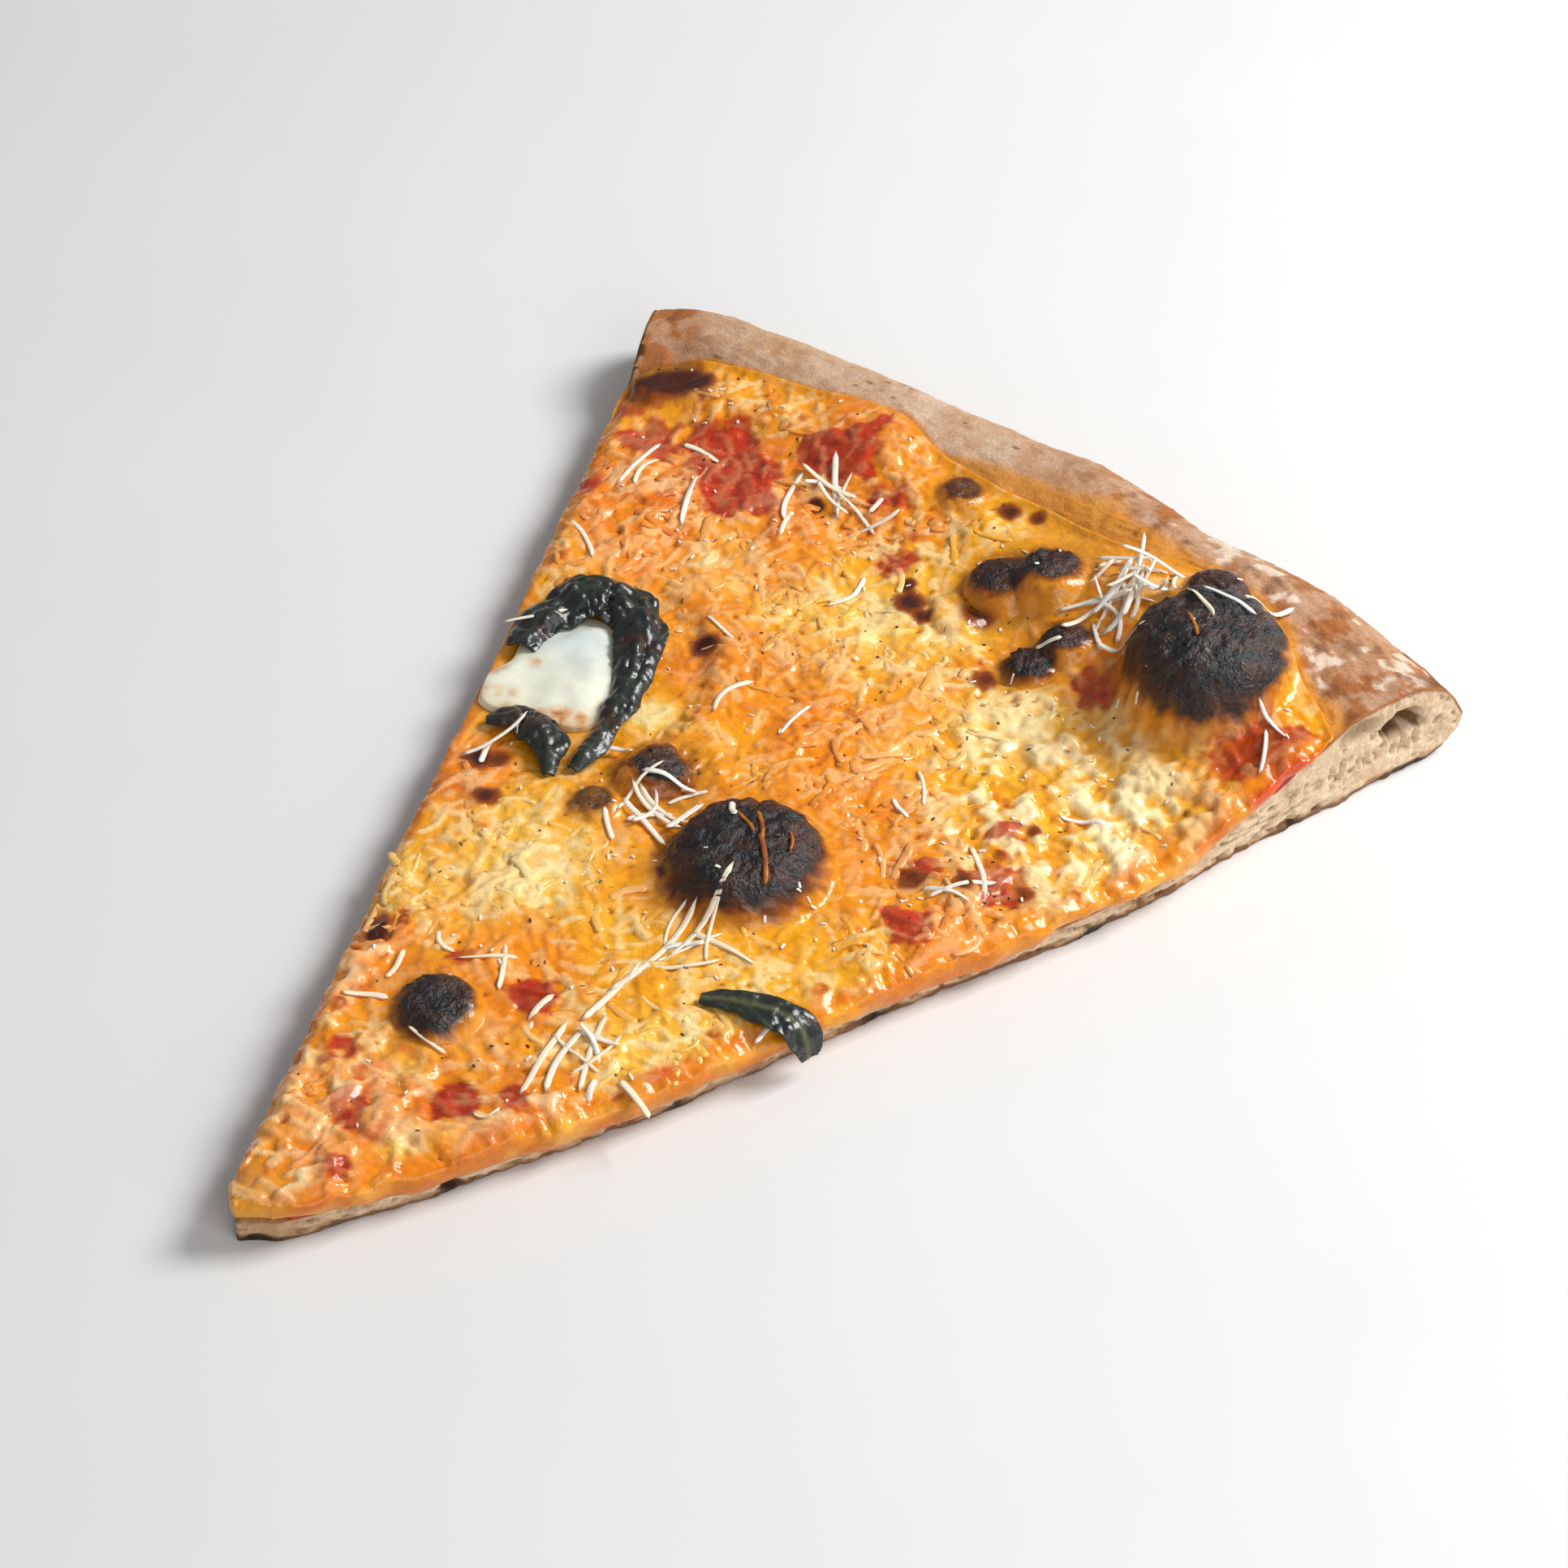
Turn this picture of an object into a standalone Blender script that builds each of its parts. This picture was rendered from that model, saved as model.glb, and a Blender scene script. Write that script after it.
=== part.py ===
"""A slice of cheese pizza, an eighth of a large thin pie.

The nodes are the dough (thin base and puffed crust), the tomato sauce and the cheese that run through
the slice, a pool of mozzarella, and three pieces of basil. Shreds of hard cheese are fused to the cheese.

Places are written in millimetres from the middle of the whole pie: +Y runs along the middle of the slice
to its crust, +X to the right cut and +Z up. The slice is then moved so that the middle of its outline
stands at the origin, with its flat underside at height 0, and written in metres.
"""

import math

import bmesh
import bpy
import numpy as np

MM = 0.001

# Driving sizes of the slice.
BASE_THICKNESS = 4.0
SAUCE_THICKNESS = 0.8
CHEESE_THICKNESS = 2.9
LAYER_GAP = 0.3
CRUST_UNDERCUT = 7.0
PLAN_MIDDLE = (0.05, 110.65)

# Plan of the two cuts, as (distance along the slice, place across it).
LEFT_CUT = ((0.0, -1.2), (60.0, -25.8), (130.0, -54.6), (186.0, -78.0), (220.0, -92.0))
RIGHT_CUT = (
    (0.0, 3.5), (6.0, 8.0), (13.0, 12.0), (26.5, 19.5), (46.0, 28.5), (61.0, 35.5), (79.0, 42.0),
    (100.0, 50.3), (120.0, 59.0), (135.0, 65.0), (151.0, 69.8), (166.0, 73.6), (179.0, 77.6),
    (192.5, 81.7), (203.0, 85.2), (220.0, 91.0),
)

# Plan and profile of the crust, as (share across from the left cut to the right cut, value).
OUTER_EDGE = (
    (0.0, 207.8), (0.03, 211.6), (0.07, 214.2), (0.12, 215.5), (0.2, 217.1), (0.28, 218.5), (0.38, 219.7),
    (0.46, 220.8), (0.53, 222.2), (0.6, 220.2), (0.68, 217.0), (0.79, 216.8), (0.9, 212.8), (0.96, 210.6),
    (1.0, 208.4),
)
TIP_EDGE = ((0.0, 2.4), (0.5, -0.4), (1.0, 3.0))
BARE_CRUST = (
    (0.0, 21.5), (0.06, 17.0), (0.14, 15.2), (0.22, 14.6), (0.29, 13.4), (0.33, 13.4), (0.38, 16.8),
    (0.44, 18.5), (0.52, 20.5), (0.62, 20.0), (0.7, 17.0), (0.78, 17.5), (0.85, 19.5), (0.92, 24.5), (1.0, 27.6),
)
CRUST_WIDTH = ((0.0, 33.0), (0.25, 36.0), (0.5, 45.0), (0.75, 58.0), (1.0, 64.0))
CRUST_RISE = ((0.0, 9.5), (0.25, 10.0), (0.5, 10.5), (0.75, 14.0), (0.88, 14.6), (1.0, 14.0))
# The crust's cross-section, as (share of its width inward from the outer edge, share of its rise).
CRUST_PROFILE = (
    (0.0, 0.25), (0.045, 0.64), (0.12, 0.91), (0.24, 1.0), (0.38, 0.93), (0.53, 0.6), (0.69, 0.35),
    (0.85, 0.12), (1.0, 0.0),
)

# Melted cheese hanging over the right cut, as (distance along the slice, depth below the top of the base).
RIGHT_DROOP = (
    (0.0, 0.0), (8.0, 0.0), (20.0, 1.0), (32.0, 1.3), (45.0, 2.0), (60.0, 1.3), (75.0, 1.0), (88.0, 0.7),
    (110.0, 1.6), (122.0, 0.6), (132.0, 0.0), (140.0, 0.0), (220.0, 0.0),
)
RIGHT_LIP = 1.4
CUT_LIP = 0.6
LIP_RUN_IN = 12.0
LIP_UNDERCUT = 0.35
LEAST_CHEESE = 0.8

# The width over which the cheese thins to its border, and over which the sauce below it runs out.
CHEESE_THINNING = 9.0
SAUCE_THINNING = 11.0
BORDER_SHARE = 0.25
CUT_ROUNDING = 0.9
CUT_ROUNDING_WIDTH = 3.0
# The side of the cheese from its top to its low edge, as (share of the lip, share of the way down).
LIP_PROFILE = ((0.8, 0.3), (1.0, 0.65), (0.8, 1.0))

# Blisters, as (across, along, radius, rise), how far their dome falls at the radius, and how steep their sides are.
BLISTERS = (
    (16.8, 103.5, 15.5, 7.8),
    (52.3, 181.5, 16.5, 11.8),
    (45.0, 195.4, 6.5, 2.2),
    (-1.2, 48.5, 8.0, 3.4),
    (9.5, 182.6, 7.5, 4.0),
    (17.0, 186.6, 7.5, 4.2),
    (24.6, 170.3, 5.2, 2.8),
    (27.6, 176.5, 5.2, 2.8),
    (-10.3, 111.2, 7.5, 2.4),
    (-12.1, 99.8, 5.0, 1.8),
    (-72.6, 190.5, 7.0, 1.0),
    (-9.9, 197.0, 5.0, 1.2),
    (6.5, 174.5, 6.0, 1.2),
    (46.0, 121.0, 6.0, 0.9),
    (43.5, 108.7, 4.0, 0.9),
)
DOME_FALL = 0.35
SIDE_STEEPNESS = 1.2
SIDE_POWER = 10
# Melted lumps.
LUMP_RISE = 0.55
SMALL_LUMP = (3.4, 4.1)
LARGE_LUMP = (7.9, 8.3)

# The bed that the basil and the mozzarella lie in, as a place, radii and a height.
BED_MIDDLE = (-36.0, 121.0)
BED_RADII = (23.0, 27.0)
BED_HEIGHT = 6.8
BED_RIM = 1.1
BED_RAMP = 0.25
# The mozzarella's outline, as (angle in degrees from +X, radius).
MOZZARELLA_OUTLINE = (
    (0.0, 9.0), (45.0, 8.6), (90.0, 9.8), (135.0, 7.0), (180.0, 8.0), (225.0, 14.5), (245.0, 13.0),
    (262.0, 8.6), (285.0, 8.0), (315.0, 8.6), (360.0, 9.0),
)
MOZZARELLA_RISE = 3.6
MOZZARELLA_WALL = 0.5
MOZZARELLA_SECTORS = 32
MOZZARELLA_RINGS = (1.0, 0.98, 0.82, 0.6, 0.32)
MOZZARELLA_INSET = 0.4

# The basil's middle lines, as (across, along, height above the bed, half width), its thickness, the points across
# it, its ripple along and across, and the half width from which it arches in full.
BASIL_THICKNESS = 0.7
BASIL_POINTS_ACROSS = 4
BASIL_RIPPLE = (2.9, 2.0)
BASIL_FULL_ARCH = 3.0
CURL_LINE = (
    (-20.4, 103.5, 1.5, 1.0), (-20.6, 108.5, 1.7, 1.8), (-22.6, 116.5, 1.8, 2.1), (-25.6, 125.0, 1.9, 2.7),
    (-29.8, 132.6, 2.3, 3.6), (-35.4, 137.6, 2.6, 4.2), (-41.6, 139.4, 2.6, 4.4), (-46.6, 136.0, 2.1, 4.2),
    (-48.0, 128.8, 1.6, 3.6), (-46.8, 121.0, 1.0, 2.0),
)
LOBE_LINE = (
    (-23.0, 100.4, 0.9, 1.0), (-25.4, 103.6, 1.5, 2.2), (-28.6, 106.4, 1.9, 3.4), (-32.6, 107.6, 1.8, 3.4),
    (-36.8, 106.6, 1.3, 2.4), (-40.0, 104.2, 0.8, 0.9),
)
# The leaf that hangs over the right cut, as (across, along, height, half width).
EDGE_LEAF_LINE = (
    (29.6, 75.6, 9.3, 1.0), (33.8, 77.6, 9.7, 2.1), (38.2, 79.2, 9.8, 2.7), (42.2, 80.3, 9.6, 3.0),
    (45.4, 80.6, 8.6, 3.1), (47.2, 80.3, 6.1, 2.9), (47.6, 80.2, 3.4, 1.6),
)

# Shreds of hard cheese, as (across, along) of one end and of the other.
LOOSE_SHREDS = (
    (43.5, 187.3, 52.6, 182.5), (46.5, 187.9, 56.0, 187.2), (-1.9, 42.6, 5.8, 42.9), (31.0, 54.4, 38.6, 52.2),
    (62.8, 177.7, 69.9, 175.7), (66.5, 175.0, 70.0, 168.2), (-14.8, 55.5, -12.3, 48.3),
    (-2.7, 66.0, 3.5, 57.6), (-15.0, 41.6, -9.2, 45.8), (18.8, 90.0, 19.4, 79.4), (20.1, 64.2, 27.0, 53.5),
    (15.8, 60.0, 22.0, 46.5), (-62.5, 176.0, -61.4, 164.3), (-50.9, 173.0, -45.7, 163.8),
    (-15.6, 139.0, -15.9, 129.5), (42.8, 130.1, 50.4, 122.6), (-60.7, 152.1, -52.8, 147.4),
    (5.0, 140.5, 5.0, 131.6),
)
# Heaps of shreds, as (across, along, spread across, spread along, how many).
SHRED_HEAPS = (
    (31.5, 190.0, 3.6, 5.4, 6),
    (-28.0, 184.0, 6.0, 6.0, 5),
    (-4.0, 104.5, 4.6, 5.0, 4),
)
SHRED_SEED = 11
SHRED_LENGTH = 9.0
SHRED_WIDTH = 1.7
SHRED_HEIGHT = 1.3
SHRED_SUNK = 0.5
# Along a shred: the share of its width and of its height at each section. Its top is narrower than its foot.
SHRED_TAPER = (0.6, 1.0, 1.0, 1.0, 0.6)
SHRED_END_DROP = (0.85, 1.0, 1.0, 1.0, 0.85)
SHRED_TOP_SHARE = 0.7

# Hollows in the crumb at the right cut, as (along, height, radius along, radius across, radius up).
CRUMB_HOLLOWS = (
    (195.0, 11.6, 2.6, 4.5, 2.6),
    (186.8, 14.0, 5.0, 2.2, 2.6),
    (188.2, 7.6, 0.9, 1.6, 1.4),
    (191.4, 7.2, 0.9, 1.6, 1.7),
    (185.2, 7.0, 1.0, 1.4, 1.1),
    (182.0, 8.4, 1.2, 1.4, 0.8),
    (199.6, 9.4, 1.0, 1.6, 1.0),
)
HOLLOW_TURN = -21.0

# Meshes: cells across and along between the layers, how many times finer the cheese's top is, and crust rows.
CELLS_ACROSS = 20
CELLS_ALONG = 16
ROW_CROWDING = 1.25
FINER_ACROSS = 2
FINER_ALONG = 3
CRUST_ROWS = 8
FLAT_CRUST_ROWS = 2

# Base colour, roughness and metallic value of each material.
FINISHES = {
    "dough": ((0.74, 0.52, 0.30), 0.8, 0.0),
    "tomato_sauce": ((0.52, 0.06, 0.02), 0.35, 0.0),
    "cheese": ((0.86, 0.44, 0.10), 0.35, 0.0),
    "mozzarella": ((0.86, 0.84, 0.66), 0.3, 0.0),
    "basil": ((0.015, 0.03, 0.015), 0.3, 0.0),
}


def clear_scene():
    """Takes every object out of the open scene."""
    for thing in list(bpy.data.objects):
        bpy.data.objects.remove(thing, do_unlink=True)


def through(knots, at):
    """A smooth curve through the knots: cubic pieces whose slope at a knot is that between its neighbours."""
    x, y = np.array(knots).T
    slope = np.gradient(y, x)
    at = np.clip(at, x[0], x[-1])
    i = np.clip(np.searchsorted(x, at, side="right") - 1, 0, len(x) - 2)
    h = x[i + 1] - x[i]
    q = (at - x[i]) / h
    rest = 1 - q
    ends = y[i] * (1 + 2 * q) * rest**2 + y[i + 1] * (3 - 2 * q) * q**2
    return ends + h * q * rest * (slope[i] * rest - slope[i + 1] * q)


def smooth_step(q):
    """0 below 0, 1 above 1, and a smooth ramp between."""
    q = np.clip(q, 0, 1)
    return q * q * (3 - 2 * q)


def plan(s, t):
    """Plan place of share s across and of t along: 0 at the tip, 1 where the cheese ends, 2 at the outer edge."""
    tip, outer = through(TIP_EDGE, s), through(OUTER_EDGE, s)
    border = outer - through(BARE_CRUST, s)
    y = np.where(t < 1, tip + (border - tip) * t, border + (outer - border) * (t - 1))
    left, right = through(LEFT_CUT, y), through(RIGHT_CUT, y)
    return left + (right - left) * s, y


def share_across(x, y):
    """Share of the way from the left cut to the right cut."""
    left, right = through(LEFT_CUT, y), through(RIGHT_CUT, y)
    return np.clip((x - left) / (right - left), 0, 1)


def dough_top(x, y):
    """Height of the dough: the flat base, and the crust's profile rising from it towards the outer edge."""
    s = share_across(x, y)
    inward = through(OUTER_EDGE, s) - y
    return BASE_THICKNESS + through(CRUST_RISE, s) * through(CRUST_PROFILE, inward / through(CRUST_WIDTH, s))


def dough_underside(s, inward):
    """Height of the underside: 0, and a quarter ellipse up to the outer edge over the undercut's width."""
    edge = BASE_THICKNESS + through(CRUST_RISE, s) * CRUST_PROFILE[0][1]
    reach = np.minimum(CRUST_UNDERCUT, 0.6 * through(BARE_CRUST, s))
    q = np.clip(1 - inward / reach, 0, 1)
    return edge * (1 - np.sqrt(1 - q**2))


def puff_up(x, y, ground):
    """Raises the blisters: inside each, the ground is levelled to its middle's height and domed."""
    height = ground(x, y)
    for across, along, radius, rise in BLISTERS:
        far = np.hypot(x - across, y - along) / radius
        steep = np.exp(-((SIDE_STEEPNESS * far) ** SIDE_POWER))
        dome = ground(np.array(across), np.array(along)) + rise * (1 - DOME_FALL * far**2)
        height += (np.maximum(dome, height) - height) * steep
    return height


def lumps(x, y):
    """Melted lumps: two crossed waves whose phases wander."""
    first = np.sin(x / SMALL_LUMP[0] + 1.3 * np.sin(y / 9.0)) * np.sin(y / SMALL_LUMP[1] + 1.7 * np.sin(x / 8.0))
    second = np.sin(x / LARGE_LUMP[0] - y / 12.0 + 0.6) * np.cos(y / LARGE_LUMP[1] + x / 15.0)
    return LUMP_RISE * (0.6 * first + 0.6 * second)


def bed_share(x, y):
    """1 in the middle of the bed of the basil and the mozzarella, and 0 outside it."""
    far = np.hypot((x - BED_MIDDLE[0]) / BED_RADII[0], (y - BED_MIDDLE[1]) / BED_RADII[1])
    return smooth_step((BED_RIM - far) / BED_RAMP)


def flat_cheese_top(x, y):
    """Height of the cheese without its blisters: the dough, the sauce, and its own thickness and lumps."""
    s = share_across(x, y)
    left, right = through(LEFT_CUT, y), through(RIGHT_CUT, y)
    to_border = through(OUTER_EDGE, s) - through(BARE_CRUST, s) - y
    to_cut = np.minimum(x - left, right - x)
    full = smooth_step(BORDER_SHARE + (1 - BORDER_SHARE) * to_border / CHEESE_THINNING)
    thickness = CHEESE_THICKNESS * full + lumps(x, y) * full
    rounding = CUT_ROUNDING * np.clip(1 - to_cut / CUT_ROUNDING_WIDTH, 0, 1) ** 2
    under = dough_top(x, y) + LAYER_GAP + (SAUCE_THICKNESS + LAYER_GAP) * smooth_step(to_border / SAUCE_THINNING)
    return under + np.maximum(thickness - rounding, LEAST_CHEESE)


def cheese_top(x, y):
    """Height of the cheese with its blisters, sunk to the bed of the basil and the mozzarella."""
    height = puff_up(x, y, flat_cheese_top)
    return height + (BED_HEIGHT - height) * bed_share(x, y)


class Skin:
    """The points and triangles of one closed solid, in millimetres."""

    def __init__(self):
        self.points = np.zeros((0, 3))
        self.faces = []

    def place(self, x, y, z):
        """Adds points and gives their numbers, in the same rows and columns."""
        x, y, z = np.broadcast_arrays(x, y, z)
        numbers = np.arange(x.size).reshape(x.shape) + len(self.points)
        self.points = np.vstack([self.points, np.stack([x, y, z], -1).reshape(-1, 3)])
        return numbers

    def cells(self, numbers, turned=False):
        """Two triangles for each cell of a lattice of numbers, facing up unless turned."""
        a, b = numbers[:-1, :-1].ravel(), numbers[:-1, 1:].ravel()
        c, d = numbers[1:, 1:].ravel(), numbers[1:, :-1].ravel()
        found = np.concatenate([np.stack([a, b, c], 1), np.stack([a, c, d], 1)])
        self.faces += (found[:, ::-1] if turned else found).tolist()

    def zip(self, lower, upper):
        """Triangles between two lines, stepping along whichever is behind."""
        i, j = 0, 0
        last_i, last_j = len(lower) - 1, len(upper) - 1
        while i < last_i or j < last_j:
            if j == last_j or (i < last_i and (i + 1) * last_j <= (j + 1) * last_i):
                self.faces.append((lower[i], lower[i + 1], upper[j]))
                i += 1
            else:
                self.faces.append((lower[i], upper[j + 1], upper[j]))
                j += 1

    def to_object(self, name, finish):
        """Makes the Blender object, in metres and round its plan's middle."""
        mesh = bpy.data.meshes.new(name)
        points = (self.points - (*PLAN_MIDDLE, 0.0)) * MM
        mesh.from_pydata(points.tolist(), [], [tuple(int(i) for i in face) for face in self.faces])
        mesh.update()
        mesh.materials.append(finish)
        thing = bpy.data.objects.new(name, mesh)
        bpy.context.scene.collection.objects.link(thing)
        return thing


def rim_loop(numbers):
    """The numbers round a lattice, seen from above: the tip, the right cut, the far row, the left cut."""
    front, right, back, left = numbers[0, :], numbers[1:, -1], numbers[-1, -2::-1], numbers[-2:0:-1, 0]
    return np.concatenate([front, right, back, left, front[:1]])


def four_sides(loop, across, along):
    """A rim loop cut into its front, right, back and left sides."""
    ends = np.cumsum([0, across, along, across, along])
    return [loop[start : end + 1] for start, end in zip(ends[:-1], ends[1:])]


def outward(points):
    """Outward direction in plan at each point of a closed loop that runs anticlockwise."""
    ring = points[:-1, :2]
    along = np.roll(ring, -1, 0) - np.roll(ring, 1, 0)
    normal = np.stack([along[:, 1], -along[:, 0]], 1)
    normal /= np.linalg.norm(normal, axis=1, keepdims=True)
    return np.vstack([normal, normal[:1]])


def lattice(finer_across=1, finer_along=1):
    """Shares s and t of a lattice from the tip to the cheese's edge, whose rows close up towards the crust."""
    columns = np.linspace(0, 1, CELLS_ACROSS * finer_across + 1)
    coarse = 1 - (1 - np.linspace(0, 1, CELLS_ALONG + 1)) ** ROW_CROWDING
    rows = np.interp(np.arange(CELLS_ALONG * finer_along + 1) / finer_along, np.arange(CELLS_ALONG + 1), coarse)
    return np.meshgrid(columns, rows)


def faceted_dough():
    """Height of the dough's facets at the fine lattice's points, between the heights at the coarse ones."""
    s, t = lattice()
    x, y = plan(s, t)
    height = dough_top(x, y)
    for axis, finer in ((1, FINER_ACROSS), (0, FINER_ALONG)):
        count = height.shape[axis]
        at = np.arange((count - 1) * finer + 1) / finer
        low = np.minimum(at.astype(int), count - 2)
        share = at - low
        share = share[:, None] if axis == 0 else share
        height = np.take(height, low, axis) * (1 - share) + np.take(height, low + 1, axis) * share
    return height


def make_material(name):
    """A Principled material with the finish of that name."""
    colour, roughness, metallic = FINISHES[name]
    material = bpy.data.materials.new(name)
    material.use_nodes = True
    shader = material.node_tree.nodes["Principled BSDF"]
    shader.inputs["Base Color"].default_value = (*colour, 1.0)
    shader.inputs["Roughness"].default_value = roughness
    shader.inputs["Metallic"].default_value = metallic
    return material


def make_dough(material):
    """The base and the crust in one: a flat underside, cut sides, and the crust's rounded outer edge."""
    skin = Skin()
    s, t = lattice()
    x, y = plan(s, t)
    top = skin.place(x, y, dough_top(x, y))
    skin.cells(top)

    rows = 1 + np.sin(np.linspace(0, np.pi / 2, CRUST_ROWS + 1))
    s, t = np.meshgrid(np.linspace(0, 1, CELLS_ACROSS * FINER_ACROSS + 1), rows)
    x_rim, y_rim = plan(s, t)
    crust = skin.place(x_rim[1:], y_rim[1:], dough_top(x_rim[1:], y_rim[1:]))
    skin.zip(top[-1], crust[0])
    skin.cells(crust)

    inward = through(OUTER_EDGE, s) - y_rim
    first = FLAT_CRUST_ROWS
    curve = slice(first, CRUST_ROWS)
    under = skin.place(x_rim[curve], y_rim[curve], dough_underside(s[curve], inward[curve]))
    under = np.vstack([under, crust[-1:]])
    skin.cells(under, turned=True)

    front = skin.place(x[0], y[0], 0.0)
    sides = []
    for column in (0, -1):
        x_side = np.concatenate([x[1:, column], x_rim[1:first, column]])
        y_side = np.concatenate([y[1:, column], y_rim[1:first, column]])
        floor = skin.place(x_side, y_side, 0.0)
        lower = np.concatenate([front[[column]], floor, under[:, column]])
        upper = np.concatenate([top[:, column], crust[:, column]])
        sides.append(floor)
        for step in range(len(lower) - 1):
            corners = [lower[step], upper[step], upper[step + 1], lower[step + 1]]
            if column == -1:
                corners.reverse()
            skin.faces.append(tuple(dict.fromkeys(corners)))
    skin.zip(front, top[0])
    ring = np.concatenate([front, sides[1], under[0, ::-1], sides[0][::-1]])
    skin.faces.append(tuple(ring[::-1]))
    return skin.to_object("dough", material)


def make_sauce(material):
    """A thin layer on the base, cut flush at the sides and stopping a row short of the cheese's edge."""
    skin = Skin()
    s, t = lattice()
    x, y = plan(s[:-1], t[:-1])
    floor = dough_top(x, y) + LAYER_GAP
    lower = skin.place(x, y, floor)
    upper = skin.place(x, y, floor + SAUCE_THICKNESS)
    skin.cells(lower, turned=True)
    skin.cells(upper)
    skin.zip(rim_loop(lower), rim_loop(upper))
    return skin.to_object("tomato_sauce", material)


def cheese_shell():
    """The cheese's top, its rounded side with the part that hangs over the right cut, and its underside."""
    skin = Skin()
    s, t = lattice(FINER_ACROSS, FINER_ALONG)
    x, y = plan(s, t)
    floor = faceted_dough() + LAYER_GAP
    below = floor + np.where(t > 0.999, 0.0, SAUCE_THICKNESS + LAYER_GAP)
    top = skin.place(x, y, np.maximum(cheese_top(x, y), below + LEAST_CHEESE))
    skin.cells(top)

    loop = rim_loop(top)
    edge = skin.points[loop]
    out = outward(edge)
    s_edge, t_edge = rim_loop(s), rim_loop(t)
    at_right = (s_edge > 0.999) * smooth_step(edge[:, 1] / LIP_RUN_IN) * smooth_step((1 - t_edge) / 0.04)
    lip = CUT_LIP + (RIGHT_LIP - CUT_LIP) * at_right
    low = rim_loop(below) + LIP_UNDERCUT
    hang = through(RIGHT_DROOP, edge[:, 1])
    low += (BASE_THICKNESS - hang - low) * smooth_step(hang / 0.5) * at_right
    previous = loop
    for reach, depth in LIP_PROFILE:
        place = edge[:, :2] + out * (lip * reach)[:, None]
        height = edge[:, 2] + (low - edge[:, 2]) * depth
        ring = skin.place(place[:-1, 0], place[:-1, 1], height[:-1])
        ring = np.append(ring, ring[0])
        skin.zip(ring, previous)
        previous = ring

    s, t = lattice()
    x, y = plan(s, t)
    lift = LAYER_GAP + np.where(t > 0.999, 0.0, SAUCE_THICKNESS + LAYER_GAP)
    under = skin.place(x, y, dough_top(x, y) + lift)
    loop = rim_loop(under)
    aside = outward(skin.points[loop])[:-1] * LIP_UNDERCUT
    aside[skin.points[loop[:-1], 1] > plan(rim_loop(s)[:-1], 1.0)[1] - 0.01] = 0.0
    skin.points[loop[:-1], :2] += aside
    skin.cells(under, turned=True)
    coarse = four_sides(loop, CELLS_ACROSS, CELLS_ALONG)
    fine = four_sides(previous, CELLS_ACROSS * FINER_ACROSS, CELLS_ALONG * FINER_ALONG)
    for lower, upper in zip(coarse, fine):
        skin.zip(lower, upper)
    return skin


def shred_strip(x0, y0, x1, y1, bend):
    """A bent strip with tapered ends: five sections of four corners along a bow from one end to the other."""
    share = np.linspace(0, 1, len(SHRED_TAPER))
    length = math.hypot(x1 - x0, y1 - y0)
    side = np.array((-(y1 - y0), x1 - x0)) / length
    bow = bend * np.sin(np.pi * share)
    x = x0 + (x1 - x0) * share + side[0] * bow
    y = y0 + (y1 - y0) * share + side[1] * bow
    foot = SHRED_WIDTH / 2 * np.array(SHRED_TAPER)
    crown = foot * SHRED_TOP_SHARE
    low = cheese_top(x, y) - SHRED_SUNK
    high = low + SHRED_HEIGHT * np.array(SHRED_END_DROP)
    skin = Skin()
    rows = np.stack([
        skin.place(x - side[0] * foot, y - side[1] * foot, low),
        skin.place(x + side[0] * foot, y + side[1] * foot, low),
        skin.place(x + side[0] * crown, y + side[1] * crown, high),
        skin.place(x - side[0] * crown, y - side[1] * crown, high),
    ], 1)
    around = np.hstack([rows, rows[:, :1]])
    skin.cells(around, turned=True)
    skin.faces.append(tuple(rows[0]))
    skin.faces.append(tuple(rows[-1, ::-1]))
    return skin


def shred_places():
    """Ends and bend of every shred: the ones that lie alone, then those drawn at random in each heap."""
    draw = np.random.default_rng(SHRED_SEED)
    places = [(*ends, draw.uniform(-0.8, 0.8)) for ends in LOOSE_SHREDS]
    for across, along, wide, deep, count in SHRED_HEAPS:
        for _ in range(count):
            x = across + wide * draw.uniform(-1, 1)
            y = along + deep * draw.uniform(-1, 1)
            turn = draw.uniform(0, np.pi)
            half = SHRED_LENGTH / 2 * draw.uniform(0.7, 1.1)
            dx, dy = half * math.cos(turn), half * math.sin(turn)
            places.append((x - dx, y - dy, x + dx, y + dy, draw.uniform(-1.2, 1.2)))
    return places


def make_cheese(material):
    """The cheese with its shreds fused on by one Boolean union."""
    cheese = cheese_shell().to_object("cheese", material)
    shreds = bpy.data.collections.new("shreds")
    bpy.context.scene.collection.children.link(shreds)
    for number, place in enumerate(shred_places()):
        strip = shred_strip(*place).to_object(f"shred_{number:02d}", material)
        bpy.context.scene.collection.objects.unlink(strip)
        shreds.objects.link(strip)
    union = cheese.modifiers.new("fused shreds", "BOOLEAN")
    union.operation = "UNION"
    union.operand_type = "COLLECTION"
    union.collection = shreds
    union.solver = "EXACT"
    bpy.context.view_layer.update()
    bpy.context.view_layer.objects.active = cheese
    bpy.ops.object.modifier_apply(modifier=union.name)
    for strip in list(shreds.objects):
        bpy.data.objects.remove(strip, do_unlink=True)
    bpy.data.collections.remove(shreds)
    keep_largest_body(cheese)
    return cheese


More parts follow.
